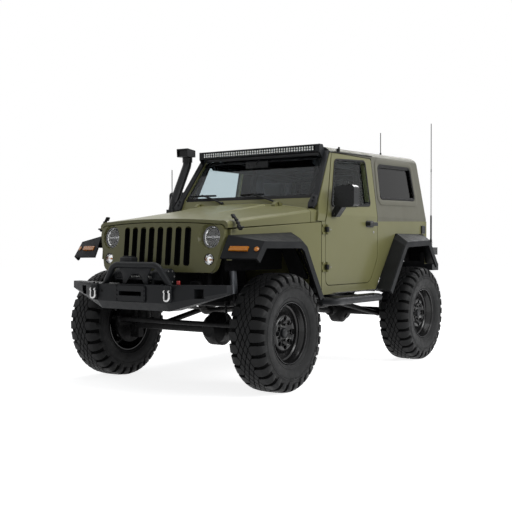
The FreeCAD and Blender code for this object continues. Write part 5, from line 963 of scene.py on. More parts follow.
class VEHICLE_OT_running_gear(Operator):
    """Frame, axles, springs, dampers, steering and driveline"""

    bl_idname = "vehicle.running_gear"
    bl_label = "Running gear"

    def execute(self, context):
        enamel, cast = finish("chassis_enamel"), finish("cast_iron")
        for node in ("frame_rails", "driveline", "fuel_tank", "engine_block", "radiator"):
            dressed(node, enamel, 0.004)
        for node in ("front_axle", "rear_axle", "knuckle_left", "knuckle_right"):
            dressed(node, cast, 0.004)
        dressed("tie_rod", cast, 0.003)
        dressed("exhaust", finish("scorched_steel"), 0.002)
        dressed("shock_absorbers", [finish("silver_paint"), enamel], 0.002,
                tint=lambda at, normal: 0 if at.z > 0.70 and at.z < (0.97 if at.x > 0 else 0.89) else 1)
        self.springs()
        self.belly(enamel, cast)
        return {"FINISHED"}

    def belly(self, enamel, cast):
        """Pans under the engine and gearbox, the front skid plate and the anti-roll bar with its links."""
        bm = bmesh.new()
        for x0, x1, half, z0, z1, edge in (
            (-0.34, 0.30, 0.40, 0.545, 0.600, 0.020), (0.40, 0.98, 0.20, 0.610, 0.760, 0.030),
            (-0.16, 0.40, 0.17, 0.590, 0.800, 0.040), (1.05, 1.45, 0.18, 0.700, 0.760, 0.015),
        ):
            added(bm, block(x0, x1, -half, half, z0, z1, edge, 3))
        skid = front_sheet([(-0.40, 0.0), (0.40, 0.0), (0.36, 0.34), (-0.36, 0.34)], 0.0, 0.006, 0.001)
        lay = Matrix.Translation((1.560, 0, 0.640)) @ Matrix.Rotation(math.radians(74), 4, "Y")
        added(bm, skid, lay)
        for hand in (1, -1):
            added(bm, block(1.44, 1.60, 0.330 * hand - 0.05, 0.330 * hand + 0.05, 0.72, 0.86, 0.02, 2))
        piece("belly_pans", bm, "chassis", enamel)
        bar = bmesh.new()
        arm = [(1.300, 0.395, 0.735), (1.470, 0.395, 0.760), (1.500, 0.340, 0.762)]
        added(bar, tube([(x, -y, z) for x, y, z in arm] + arm[::-1], 0.014))
        for hand in (1, -1):
            ends = ((1.300, 0.395 * hand, 0.735), (1.262, 0.395 * hand, 0.505))
            added(bar, rod(*ends, 0.009, 14, edge=0.001))
            for at in ends:
                added(bar, pin(at, (0, 0.020, 0), 0.017, 18, 0.003))
        piece("anti_roll_bar", bar, "chassis", cast)

    def springs(self):
        """Wound bar in place of each ridged sleeve."""
        bm = bmesh.new()
        turns, sides = 5.5, 14
        for x in (half_base, -half_base):
            for y in (spring_y, -spring_y):
                bottom, top = self.reach("coil_springs", x, y)
                points = []
                for index in range(int(turns * sides) + 1):
                    turn = math.tau * index / sides
                    rise = min(max((index - sides * 0.5) / (turns * sides - sides), 0), 1)
                    points.append((x + spring_radius * math.cos(turn), y + spring_radius * math.sin(turn),
                                   bottom + spring_bar + (top - bottom - 2 * spring_bar) * rise))
                added(bm, tube(points, spring_bar))
        piece("coil_springs_wound", bm, "chassis", finish("spring_enamel"), ("coil_springs",))

    def reach(self, node, x, y):
        """Lowest and highest point of a node near an upright line."""
        heights = [v.co.z for v in frame["nodes"][node].data.vertices
                   if (v.co.xy - Vector((x, y))).length < 0.1]
        return min(heights), max(heights)


# Tyres

tread_path = (
    (0.0, 0.4422), (0.060, 0.4412), (0.100, 0.4375), (0.118, 0.4310), (0.131, 0.4200), (0.140, 0.4060),
    (0.1465, 0.3880), (0.1500, 0.3640), (0.1510, 0.3400),
)


def tread_point(across):
    """Point and outward normal on the carcass at a distance across the tread from its middle."""
    left = abs(across)
    for (y0, r0), (y1, r1) in zip(tread_path, tread_path[1:]):
        length = math.dist((y0, r0), (y1, r1))
        if left <= length or (y1, r1) == tread_path[-1]:
            along = Vector((y1 - y0, r1 - r0)) / length
            normal = Vector((-along.y, along.x))
            at = Vector((y0, r0)) + along * left
            hand = math.copysign(1, across)
            return Vector((at.x * hand, at.y)), Vector((normal.x * hand, normal.y))
        left -= length


def rolled(bm):
    """Wrap a block drawn flat, X round the tyre, Y across it and Z out, onto the carcass."""
    for vert in bm.verts:
        around, across, out = vert.co
        at, normal = tread_point(across)
        fade = 1 - 0.62 * min(max((abs(across) - 0.125) / 0.05, 0), 1)
        if out > 0:
            out *= fade
        place = at + normal * out
        turn = around / tyre_radius
        vert.co = Vector((place.y * math.sin(turn), place.x, -place.y * math.cos(turn)))


def lug(outline, height, cuts=(), edge=0.0022):
    """Raised block from a flat outline of X and Y."""
    bm = sheet([(x, y, -0.004) for x, y in outline])
    for cut in cuts:
        bmesh.ops.bisect_plane(bm, geom=bm.verts[:] + bm.edges[:] + bm.faces[:], plane_co=(0, cut, 0),
                               plane_no=(0, 1, 0))
    thickened(bm, (0, 0, height + 0.004))
    rims = [e for e in bm.edges if e.verts[0].co.z > 0 and e.verts[1].co.z > 0 and e.calc_face_angle(0) > 0.7]
    bevelled(bm, rims, edge, 1)
    floor = [face for face in bm.faces if face.normal.z < -0.9]
    bmesh.ops.delete(bm, geom=floor, context="FACES")
    return bm


def tyre_mesh(settings):
    """Mud tyre on the Y axis: carcass, shoulder lugs that wrap over the sides, and lozenges between."""
    side = [
        (0.4422, 0.0), (0.4412, 0.060), (0.4375, 0.100), (0.4310, 0.118), (0.4200, 0.131), (0.4060, 0.140),
        (0.3880, 0.1465), (0.3640, 0.1500), (0.3560, 0.1505), (0.3545, 0.1525), (0.3505, 0.1525),
        (0.3490, 0.1508), (0.3300, 0.1505), (0.3050, 0.1475), (0.2850, 0.1425), (0.2740, 0.1390),
        (0.2725, 0.1405), (0.2690, 0.1400), (0.2670, 0.1370), (0.2560, 0.1310), (0.2480, 0.1290),
        (0.2420, 0.1240), (0.2385, 0.1150), (0.2375, 0.1040),
    ]
    profile = side + [(radius, -across) for radius, across in side[:0:-1]]
    bm = spun(profile, settings.steps, closed=True)
    # Carcass faces out in the tread take the darker groove finish, as painted shade
    tinted(bm, lambda at, normal: 1 if math.hypot(at.x, at.z) > 0.395 else 0)
    pitch = math.tau * tyre_radius / settings.pitches
    height = settings.groove
    half_long, half_wide = pitch * 0.5 - settings.gap * 1.05, tread_row - settings.gap * 0.5
    wide = pitch * 0.5 - settings.gap * 0.80
    lozenge = [
        (-half_long, 0), (-half_long * 0.18, -half_wide), (half_long * 0.12, -half_wide), (half_long, 0),
        (half_long * 0.18, half_wide), (-half_long * 0.12, half_wide),
    ]
    for index in range(settings.pitches):
        group = bmesh.new()
        for place in range(-2, 3):
            stone = lug([(x, y) for x, y in lozenge], height)
            shift = (0 if place % 2 == 0 else 0.5) * pitch
            added(group, stone, Matrix.Translation((shift, place * tread_row, 0)))
        end = 0.192 if index % 2 == 0 else 0.176
        tip = tread_row * 2 + 0.0035
        half_claw = [(0.009, tip), (wide * 0.84, tip + tread_row * 0.80), (wide * 0.84, 0.100),
                     (wide * 0.80, 0.130), (wide * 0.62, end)]
        shoulder = [(-0.009, tip)] + half_claw + [(-x, y) for x, y in half_claw[:0:-1]]
        for hand in (1, -1):
            claw = lug([(x, y * hand) for x, y in shoulder], height,
                       [hand * cut for cut in (0.100, 0.118, 0.136, 0.152, 0.172)])
            added(group, claw, Matrix.Translation((pitch * 0.5, 0, 0)))
            for place in (0.14, 0.40, 0.62, 0.86):
                fin = lug([(-0.0016, 0.196 * hand), (0.0016, 0.196 * hand), (0.0011, 0.222 * hand),
                           (-0.0011, 0.222 * hand)], 0.0038, edge=0.0006)
                added(group, fin, Matrix.Translation((pitch * place, 0, 0)))
        for vert in group.verts:
            vert.co.x += index * pitch + vert.co.y * (0.16 if abs(vert.co.y) < 0.05 else 0)
        rolled(group)
        added(bm, group)
    return bm


wheel_places = {
    "fl": (Vector((half_base, half_track, hub_z)), 0), "fr": (Vector((half_base, -half_track, hub_z)), 180),
    "rl": (Vector((-half_base, half_track, hub_z)), 0), "rr": (Vector((-half_base, -half_track, hub_z)), 180),
    "spare": (spare_centre, 90),
}


def wheel_nodes(place):
    return ("spare_tyre", "spare_rim") if place == "spare" else ("tyre_" + place, "rim_" + place)


def wheel_matrix(place):
    at, turn = wheel_places[place]
    return Matrix.Translation(at) @ Matrix.Rotation(math.radians(turn), 4, "Z")


class VEHICLE_OT_tyres(Operator):
    """Mud tyres with shoulder lugs and blocks in place of the plain ones"""

    bl_idname = "vehicle.tyres"
    bl_label = "Tyres"

    def execute(self, context):
        settings = context.scene.vehicle_tyres
        model = tyre_mesh(settings)
        finishes = [tyre_rubber(context), finish("groove_rubber")]
        for place in wheel_places:
            node = wheel_nodes(place)[0]
            bm = moved(model.copy(), wheel_matrix(place))
            piece(node + "_lugged", bm, body_of_node[node], finishes, (node,), crease=38)
        model.free()
        return {"FINISHED"}


# Wheels

class VEHICLE_OT_wheels(Operator):
    """Steel wheels with a rolled lip, domed disc, round windows, nuts and hub cap"""

    bl_idname = "vehicle.wheels"
    bl_label = "Wheels"

    def execute(self, context):
        settings = context.scene.vehicle_wheels
        disc = self.disc(settings)
        model = added(self.barrel(), disc)
        self.windows(model, settings)
        self.hub(model, settings)
        finishes = [finish(name) for name in ("wheel_enamel", "wheel_lip", "wheel_nuts", "smooth_plastic")]
        for place in wheel_places:
            node = wheel_nodes(place)[1]
            bm = moved(model.copy(), wheel_matrix(place))
            piece(node + "_steel", bm, body_of_node[node], finishes, (node,), crease=40)
        model.free()
        return {"FINISHED"}

    def barrel(self):
        """Outer shell from lip to lip, with a drop in its middle."""
        outside = [
            (0.2365, 0.1235), (0.2362, 0.1180), (0.2335, 0.1120), (0.2320, 0.1000), (0.2280, 0.0700),
            (0.2110, 0.0500), (0.2100, -0.0500), (0.2300, -0.0800), (0.2330, -0.1120), (0.2362, -0.1180),
            (0.2365, -0.1270),
        ]
        inside = [
            (0.2290, -0.1270), (0.2240, -0.1120), (0.2200, -0.0800), (0.2020, -0.0500), (0.2010, 0.0300),
            (0.2030, 0.0480), (0.2130, 0.0560), (0.2150, 0.0700), (0.2200, 0.0760), (0.2215, 0.0960),
            (0.2260, 0.1010), (0.2275, 0.1130), (0.2300, 0.1215), (0.2320, 0.1260), (0.2345, 0.1268),
        ]
        # The lip takes the lighter finish, which is wear and a painted highlight
        return tinted(spun(outside + inside, 96, closed=True), lambda at, normal: 1 if at.y > 0.1245 else 0)

    def disc(self, settings):
        """Domed disc with round windows cut through it."""
        front = [
            (0.2040, 0.0330), (0.1850, 0.0350), (0.1640, 0.0380), (0.1540, 0.0440), (0.1470, 0.0560),
            (0.1400, 0.0680), (0.1300, 0.0750), (0.1180, 0.0765), (0.1050, 0.0720), (0.0920, 0.0620),
            (0.0820, 0.0520), (0.0740, 0.0470), (0.0, hub_face),
        ]
        back = [(0.0, 0.0360)] + [(radius, height - 0.0105) for radius, height in front[-2::-1]]
        bm = spun(front + back, 96)
        bmesh.ops.recalc_face_normals(bm, faces=bm.faces)
        cutters = bmesh.new()
        for index in range(settings.windows):
            turn = math.tau * index / settings.windows
            at = Vector((window_circle * math.cos(turn), 0, window_circle * math.sin(turn)))
            added(cutters, rod(at, at + Vector((0, 0.12, 0)), settings.window_radius, 28))
        return self.cut(bm, cutters)

    def cut(self, bm, cutters):
        """What is left of a shape when the cutters are taken out of it."""
        holders = []
        for name, source in (("disc", bm), ("cutters", cutters)):
            mesh = bpy.data.meshes.new(name)
            source.to_mesh(mesh)
            source.free()
            holder = bpy.data.objects.new(name, mesh)
            bpy.context.scene.collection.objects.link(holder)
            holders.append(holder)
        saw = holders[0].modifiers.new("cut", "BOOLEAN")
        saw.operation = "DIFFERENCE"
        saw.object = holders[1]
        saw.solver = "EXACT"
        bpy.context.view_layer.update()
        graph = bpy.context.evaluated_depsgraph_get()
        result = bpy.data.meshes.new_from_object(holders[0].evaluated_get(graph))
        made = bmesh.new()
        made.from_mesh(result)
        for holder in holders:
            mesh = holder.data
            bpy.data.objects.remove(holder)
            bpy.data.meshes.remove(mesh)
        bpy.data.meshes.remove(result)
        return made

    def windows(self, bm, settings):
        """Rolled rim round each window."""
        for index in range(settings.windows):
            turn = math.tau * index / settings.windows
            rim = ring(settings.window_radius, 0.0022, 28, 8)
            lean = Matrix.Translation((window_circle, 0.0715, 0)) @ Matrix.Rotation(-0.30, 4, "Z")
            added(bm, rim, Matrix.Rotation(-turn, 4, "Y") @ lean)

    def hub(self, bm, settings):
        """Nuts on their seats, the cap and the valve."""
        for index in range(settings.nuts):
            turn = math.tau * (index + 0.5) / settings.nuts
            at = Vector((nut_circle * math.cos(turn), hub_face, nut_circle * math.sin(turn)))
            seat, end, tip = (at + Vector((0, step, 0)) for step in (0.004, 0.022, 0.027))
            added(bm, rod(at, seat, 0.0145, 20, edge=0.001), index=2)
            added(bm, rod(seat, end, 0.0105, 6, edge=0.0012), index=2)
            added(bm, rod(end, tip, 0.0085, 16, end_radius=0.004), index=2)
        cap = [
            (0.0, 0.0830), (0.0180, 0.0825), (0.0300, 0.0800), (0.0360, 0.0745), (0.0375, 0.0660),
            (0.0375, 0.0560), (0.0400, 0.0540), (0.0405, 0.0470), (0.0, hub_face),
        ]
        added(bm, spun(cap, 40), index=3)
        added(bm, rod((0.2130, 0.075, 0.0), (0.196, 0.112, 0.0), 0.0045, 10, edge=0.001), index=3)


# Glass and seals

def outline_on_wall(outline, corner, width, depth, hand):
    """Border laid on the leaning side wall."""
    return onto_wall(border(outline, corner, width, depth), hand)


def grown_outline(outline, step):
    """Outline moved outwards from its middle."""
    middle_x = sum(x for x, z in outline) / len(outline)
    middle_z = sum(z for x, z in outline) / len(outline)
    return [(x + math.copysign(step, x - middle_x), z + math.copysign(step, z - middle_z))
            for x, z in outline]


class VEHICLE_OT_glass(Operator):
    """Window glass, black glass edges, rubber seals, drip rails and wipers"""

    bl_idname = "vehicle.glass"
    bl_label = "Glass"

    def execute(self, context):
        clear = glazing("clear_glass", (0.72, 0.81, 0.86), index=1.27)
        tinted = glazing("door_glass", (0.62, 0.68, 0.68), index=1.14)
        privacy = glazing("privacy_glass", (0.012, 0.013, 0.015), index=1.26)
        rubber = finish("seal_rubber")
        dressed("windscreen_glass", clear, 0.0)
        dressed("hard_top_windows", privacy, 0.0)
        for side, hand in (("left", 1), ("right", -1)):
            dressed("door_glass_" + side, tinted, 0.0)
            seal = outline_on_wall(grown_outline(door_window, 0.012), 0.045, 0.017, 0.004, hand)
            piece("door_glass_seal_" + side, seal, "door_" + side, rubber)
            self.drip_rail(side, hand)
        seals = bmesh.new()
        for hand in (1, -1):
            added(seals, outline_on_wall(grown_outline(quarter_window, 0.010), 0.060, 0.020, 0.004, hand))
        piece("quarter_glass_seals", seals, "chassis", rubber)
        swage = bmesh.new()
        for hand in (1, -1):
            added(swage, outline_on_wall(grown_outline(quarter_window, 0.062), 0.085, 0.050, 0.0045, hand))
        piece("quarter_window_swages", swage, "chassis", finish("hard_top_paint"), crease=50)
        self.rear_seal(rubber)
        self.screen_border(rubber)
        self.wipers()
        return {"FINISHED"}

    def drip_rail(self, side, hand):
        """Dark rail over the door, with a roof clip near its front end."""
        route = ((0.205, 1.936), (0.05, 1.945), (-0.20, 1.953), (-0.60, 1.962))
        bm = tube([(x, (wall_y(z) + 0.006) * hand, z) for x, z in route], 0.0052, sides=2)
        clip = block(0.020, 0.062, 0, 0.016, 1.944, 1.978, 0.004, 2)
        added(clip, block(0.030, 0.052, 0.010, 0.022, 1.952, 1.992, 0.004, 2))
        bmesh.ops.translate(clip, vec=(0, wall_y(1.955) - 0.004, 0), verts=clip.verts)
        added(bm, sided(clip, hand))
        piece("drip_rail_" + side, bm, "chassis", finish("seal_rubber"))

    def rear_seal(self, rubber):
        """Rubber round the rear glass, on the leaning back of the hard top."""
        bm = border([(-0.528, 1.428), (0.528, 1.428), (0.498, 1.917), (-0.498, 1.917)], 0.06, 0.022, 0.005)
        for vert in bm.verts:
            across, out, up = vert.co
            vert.co = Vector((-1.6265 + (up - 1.44) * 0.0745 - out, across, up))
        bmesh.ops.recalc_face_normals(bm, faces=bm.faces)
        piece("rear_glass_seal", bm, "chassis", rubber)

    def screen_border(self, rubber):
        """Black print round the windscreen's edge, on its outer face."""
        low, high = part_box("windscreen_glass")
        foot = Vector((high[0], 0, low[2]))
        top = Vector((low[0], 0, high[2]))
        lean = math.atan2(foot.x - top.x, top.z - foot.z)
        length = (top - foot).length
        half_low, half_top = high[1] - 0.002, high[1] - 0.074
        outline = [(-half_low, 0.004), (half_low, 0.004), (half_top, length - 0.004),
                   (-half_top, length - 0.004)]
        bm = border(outline, 0.05, 0.042, 0.0012)
        out = Vector((math.cos(lean), 0, math.sin(lean)))
        along = (top - foot).normalized()
        for vert in bm.verts:
            across, lift, up = vert.co
            vert.co = foot + along * up + out * (lift + 0.0006) + Vector((0, across, 0))
        bmesh.ops.recalc_face_normals(bm, faces=bm.faces)
        piece("windscreen_print", bm, "chassis", rubber)

    def wipers(self):
        """Two wipers: blade, spine, arm and pivot."""
        bm = bmesh.new()
        for blade, pivot in (
            (((0.450, -0.060, 1.570), (0.449, 0.182, 1.572)), (0.513, 0.405, 1.478)),
            (((0.448, -0.656, 1.574), (0.448, -0.339, 1.574)), (0.497, -0.236, 1.500)),
        ):
            start, end = Vector(blade[0]), Vector(blade[1])
            middle, foot = (start + end) / 2, Vector(pivot)
            added(bm, tube([start, middle + Vector((0.002, 0, 0.002)), end], 0.0060, sides=2))
            spine = [start + Vector((0.006, 0, 0.006)), middle + Vector((0.012, 0, 0.010)),
                     end + Vector((0.006, 0, 0.006))]
            added(bm, tube(spine, 0.0045, sides=1))
            arm = [middle + Vector((0.011, 0, 0.010)), (middle + foot) / 2 + Vector((0.018, 0, 0.016)), foot]
            added(bm, tube(arm, 0.0085, sides=2))
            added(bm, rod(foot - Vector((0.012, 0, 0.020)), foot + Vector((0.008, 0, 0.010)), 0.015, 20,
                          edge=0.003))
        piece("wipers", bm, "chassis", finish("smooth_plastic"))


# Lamps

def facing_front(bm):
    """Turn a shape spun about Y so that its height runs along X."""
    return moved(bm, Matrix.Rotation(-math.pi / 2, 4, "Z"))


def turned(profile, steps, closed=False):
    """Shape of a profile of radius and height turned about X."""
    return facing_front(spun(profile, steps, closed))


class VEHICLE_OT_lamps(Operator):
    """Headlamps, turn lamps, side markers, tail lamps and the roof light bar"""

    bl_idname = "vehicle.lamps"
    bl_label = "Lamps"

    def execute(self, context):
        settings = context.scene.vehicle_lamps
        self.headlamps()
        self.front_markers(settings)
        self.tail_lamps(settings)
        self.light_bar(settings)
        return {"FINISHED"}

    def headlamps(self):
        """Bucket, faceted reflector, bulb shield and a domed fluted lens behind a bright ring."""
        shell, lens = bmesh.new(), bmesh.new()
        for hand in (1, -1):
            place = grille_place(headlamp_place, hand)
            bucket = [(0.0835, -0.070), (0.0835, -0.004), (0.0815, 0.0), (0.0770, -0.001), (0.0765, -0.012),
                      (0.0, -0.068)]
            added(shell, turned([(0.0, -0.070)] + bucket, 64), place, 1)
            radii = [0.076 * (1 - index / 8) + 0.012 * (index / 8) for index in range(9)]
            bowl = [(radius, -0.010 - 0.048 * (1 - (radius / 0.076) ** 2)) for radius in radii]
            back = [(radius, height - 0.0012) for radius, height in bowl[::-1]]
            added(shell, turned(bowl + back, 18, closed=True), place, 0)
            rim = facing_front(ring(0.0800, 0.0038, 72, 10))
            added(shell, rim, place @ Matrix.Translation((0.001, 0, 0)), 2)
            shield = [(0.0, -0.012), (0.012, -0.014), (0.0185, -0.021), (0.0195, -0.034), (0.0165, -0.034),
                      (0.0, -0.018)]
            added(shell, turned(shield, 32), place, 2)
            added(shell, block(-0.020, -0.014, -0.075, 0.075, -0.0022, 0.0022, 0.0006, 1), place, 0)
            dome = [(0.0, 0.0115), (0.022, 0.0107), (0.042, 0.0085), (0.060, 0.0045), (0.0715, 0.0),
                    (0.0765, -0.004)]
            inner = [(0.0735, -0.0065), (0.0690, -0.0026), (0.0585, 0.0012), (0.041, 0.0052), (0.021, 0.0074),
                     (0.0, 0.0082)]
            added(lens, turned(dome + inner, 64), place)
        finishes = [finish(name) for name in ("chrome", "liner_plastic", "lamp_ring")]
        piece("headlamp_bowls", shell, "chassis", finishes, ("headlamps",), crease=20)
        glass = fluted_glass("headlamp_glass", (0.97, 0.98, 0.98), 20, 0.0004)
        piece("headlamp_lenses", lens, "chassis", glass, (), crease=40)

    def front_markers(self, settings):
        """Round turn lamps in the grille, corner lamps, and the wide ribbed lamps in the flares."""
        body, lens, amber = bmesh.new(), bmesh.new(), bmesh.new()
        for hand in (1, -1):
            place = grille_place(turn_lamp_place, hand)
            added(body, facing_front(ring(0.0430, 0.0040, 48, 8, 1.6)), place, 0)
            bowl = [(0.041, -0.002), (0.034, -0.020), (0.020, -0.030), (0.0, -0.033), (0.0, -0.035),
                    (0.021, -0.032), (0.036, -0.021), (0.0425, -0.004)]
            added(body, turned(bowl, 40), place, 1)
            bulb = [(0.0, -0.006), (0.006, -0.008), (0.009, -0.014), (0.008, -0.022), (0.005, -0.029),
                    (0.0, -0.030)]
            added(amber, turned(bulb, 20), place)
            dome = [(0.0, 0.0075), (0.016, 0.0066), (0.030, 0.0035), (0.0405, -0.0010), (0.0385, -0.0030),
                    (0.029, 0.0008), (0.016, 0.0038), (0.0, 0.0048)]
            added(lens, turned(dome, 48), place)
        piece("turn_lamp_bowls", body, "chassis", [finish("seal_rubber"), finish("chrome")], crease=30)
        piece("turn_lamp_bulbs", amber, "chassis", finish("bulb_amber"))
        glass = fluted_glass("turn_lamp_glass", (0.96, 0.97, 0.97), 40, 0.0004)
        piece("turn_lamp_lenses", lens, "chassis", glass, (), crease=40)
        ribbed = [fluted_glass("amber_glass", settings.amber, 46, 0.0022, clear=0.0), finish("seal_rubber")]
        round_lamp = bmesh.new()
        at, out = corner_lamp_place, corner_lamp_way
        added(round_lamp, rod(at - out * 0.004, at + out * 0.0035, 0.0235, 28, edge=0.0015), index=1)
        added(round_lamp, rod(at, at + out * 0.0075, 0.0195, 28, edge=0.003), index=0)
        piece("corner_lamps", both_sides(round_lamp), "chassis", ribbed)
        bm = copied("marker_lamps", keep=lambda at: abs(at.y) > 0.60)
        piece("flare_lamps", bm, "chassis", ribbed, ("marker_lamps",), edge=0.002)

    def tail_lamps(self, settings):
        """Housings with three lens bars each, the middle one clear."""
        red = fluted_glass("red_glass", settings.red, 50, 0.0016, "Z", clear=0.3)
        clear = fluted_glass("reverse_glass", (0.85, 0.86, 0.86), 50, 0.0014, "Z", clear=0.4)
        dressed("tail_lamps", finish("smooth_plastic"), 0.006, 3)
        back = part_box("tail_lamps")[0][0]
        bm = bmesh.new()
        for hand in (1, -1):
            for index, (z0, z1) in enumerate(((1.277, 1.342), (1.236, 1.273), (1.200, 1.232))):
                lens = sided(block(back - 0.0035, back + 0.002, 0.622, 0.732, z0, z1, 0.0025, 2), hand)
                added(bm, lens, index=1 if index == 1 else 0)
        piece("tail_lamp_lenses", bm, "chassis", [red, clear], ())

    def light_bar(self, settings):
        """Two rows of small reflector cups behind a clear cover."""
        low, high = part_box("light_bar_lens")
        middle_z, tall = (low[2] + high[2]) / 2, high[2] - low[2]
        pitch = (high[1] - low[1] - 0.012) / settings.cells
        radius = min(pitch * 0.40, tall * 0.215)
        board = block(low[0] - 0.0003, low[0] + 0.0018, low[1] + 0.003, high[1] - 0.003, low[2] + 0.001,
                      high[2] - 0.001)
        tinted(board, lambda at, normal: 1)
        cup = turned([(radius, 0.0085), (radius * 0.80, 0.0045), (radius * 0.38, 0.0022)], 10)
        chip = turned([(radius * 0.40, 0.0020), (radius * 0.26, 0.0034), (0.0, 0.0036)], 8)
        added(cup, chip, index=2)
        for row in (-1, 1):
            for index in range(settings.cells):
                y = low[1] + 0.006 + pitch * (index + 0.5)
                place = Matrix.Translation((low[0] + 0.0005, y, middle_z + row * tall * 0.245))
                added(board, cup.copy(), place)
        cup.free()
        finishes = [finish(name) for name in ("lamp_foil", "liner_plastic", "lamp_emitter")]
        piece("light_bar_cells", board, "chassis", finishes, crease=30)
        cover = block(high[0] + 0.0046, high[0] + 0.0066, low[1], high[1], low[2], high[2], 0.0006, 1)
        clear = glazing("light_bar_glass", (0.97, 0.98, 0.98), index=1.08)
        piece("light_bar_cover", cover, "chassis", clear, ("light_bar_lens",))
        bezel = bmesh.new()
        for z in (low[2] - 0.004, high[2] + 0.004):
            added(bezel, block(high[0] - 0.004, high[0] + 0.0085, low[1] - 0.004, high[1] + 0.004,
                               z - 0.003, z + 0.003, 0.001, 1))
        piece("light_bar_bezel", bezel, "chassis", finish("smooth_plastic"))


# Small fittings

class VEHICLE_OT_fittings(Operator):
    """Hinges, handles, mirrors, hood latches, aerials and bolts"""

    bl_idname = "vehicle.fittings"
    bl_label = "Fittings"

    def execute(self, context):
        paint, black = finish("olive_paint"), finish("smooth_plastic")

        def fitting_side(at, normal):
            """Body colour on the hinge leaves; black on mirrors and handles."""
            return 0 if at.z < 1.30 and 0.30 < at.x < 0.392 else 1

        for side, hand in (("left", 1), ("right", -1)):
            dressed("door_fittings_" + side, [paint, black], 0.004, 3, tint=fitting_side,
                    crease=40)
            self.door_hardware(side, hand)
        dressed("hinge_ears", paint, 0.002)
        dressed("antennas", black, 0.0)
        self.hood_latches()
        self.aerial_details()
        self.bolts()
        return {"FINISHED"}

    def door_hardware(self, side, hand):
        """Hinge bolts and sleeves, handle cup, lock, mirror glass and mirror bolts of one door."""
        bm = bmesh.new()
        pin_x, pin_y = hinge_pin
        for z in hinge_heights:
            for x in (0.338, 0.368):
                added(bm, hex_bolt((x, (side_y + 0.0078) * hand, z), (0, hand, 0), 0.013, 0.005), index=1)
            sleeve = rod((pin_x, pin_y * hand, z - 0.0205), (pin_x, pin_y * hand, z + 0.0205), 0.0165, 24,
                         edge=0.002)
            added(bm, sleeve, index=0)
        cup = plate([(-0.478, 1.290), (-0.312, 1.290), (-0.312, 1.350), (-0.478, 1.350)], 0.0035, 0.028,
                    0.001)
        added(bm, onto_wall(cup, hand, 0.0002), index=0)
        lock = rod((-0.468, (side_y + 0.0002) * hand, 1.247), (-0.468, (side_y + 0.004) * hand, 1.247),
                   0.0115, 24, edge=0.001)
        added(bm, lock, index=1)
        # Dark sliver on the lock for the key slot: painted shade where no opening is cut
        slot = block(-0.4695, -0.4665, 0, 0.0006, 1.241, 1.253)
        bmesh.ops.translate(slot, vec=(0, side_y + 0.0039, 0), verts=slot.verts)
        added(bm, sided(slot, hand), index=2)
        glass = plate([(0.842, 1.462), (0.992, 1.462), (0.992, 1.620), (0.842, 1.620)], 0.003, 0.022, 0.0006)
        for vert in glass.verts:
            across, out, up = vert.co
            vert.co = Vector((0.2215 - out, across * hand, up))
        bmesh.ops.recalc_face_normals(glass, faces=glass.faces)
        added(bm, glass, index=3)
        for x, z in ((0.262, 1.400), (0.300, 1.392)):
            added(bm, hex_bolt((x, (side_y + 0.028) * hand, z), (0, hand, 0), 0.015, 0.006), index=1)
        finishes = [finish(name) for name in ("smooth_plastic", "zinc_steel", "shut_line", "mirror_glass")]
        piece("door_hardware_" + side, bm, "door_" + side, finishes, crease=35)

    def hood_latches(self):
        """Rubber latches with hooks at the hood's front corners."""
        bm = bmesh.new()
        top, foot = Vector((1.530, 0.640, 1.345)), Vector((1.530, 0.712, 1.236))
        along, out = (top - foot).normalized(), Vector((0, 0.109, 0.072)).normalized()
        turn = Matrix((Vector((1, 0, 0)), out, along)).transposed().to_4x4()
        for low, high, wide, thick, lift in (
            (0.000, 0.040, 0.040, 0.018, 0.008), (0.030, 0.112, 0.026, 0.014, 0.013),
            (0.050, 0.066, 0.034, 0.020, 0.014), (0.078, 0.092, 0.034, 0.020, 0.014),
            (0.106, 0.140, 0.038, 0.016, 0.007),
        ):
            part = block(-wide / 2, wide / 2, lift - thick / 2, lift + thick / 2, low, high, 0.004, 2)
            added(bm, part, Matrix.Translation(foot) @ turn)
        hook = foot + out * 0.020
        ends = (hook + Vector((x, 0, 0.012)) for x in (-0.024, 0.024))
        added(bm, rod(*ends, 0.007, 14, edge=0.001))
        piece("hood_latches", both_sides(bm), "chassis", finish("seal_rubber"))

    def aerial_details(self):
        """Sleeve, ferrule, spring and foot of the tall aerial."""
        bm = bmesh.new()
        for low, high, radius, sides in ((1.100, 1.440, 0.0065, 14), (1.885, 1.915, 0.0055, 12)):
            added(bm, rod((aerial_x, aerial_y, low), (aerial_x, aerial_y, high), radius, sides, edge=0.001))
        coil, turns, sides, radius = [], 8, 14, 0.0125
        for index in range(turns * sides + 1):
            turn = math.tau * index / sides
            coil.append((aerial_x + radius * math.cos(turn), aerial_y + radius * math.sin(turn),
                         1.110 + 0.010 * index / sides))
        added(bm, tube(coil, 0.0028, sides=1))
        added(bm, rod((aerial_x, aerial_y, 1.090), (aerial_x, aerial_y, 1.112), 0.017, 20, edge=0.002))
        piece("aerial_feet", bm, "chassis", finish("smooth_plastic"))

    def bolts(self):
        """Bolt heads on both bumpers."""
        bm = bmesh.new()
        for hand in (1, -1):
            for y in (0.300, 0.366, 0.430):
                added(bm, hex_bolt((1.9385 - max(0, y - 0.34) * 0.37, y * hand, 0.8292), (0, 0, 1), 0.019,
                                   0.008))
            for z in (0.716, 0.750, 0.784, 0.810):
                added(bm, hex_bolt((1.9602, 0.138 * hand, z), (1, 0, 0), 0.012, 0.005))
            for y in (0.20, 0.52, 0.74):
                added(bm, hex_bolt((-1.9085, y * hand, 0.905), (-1, 0, 0), 0.018, 0.007))
        piece("plate_bolts", bm, "chassis", finish("powder_coat"))


# Recovery gear and steps

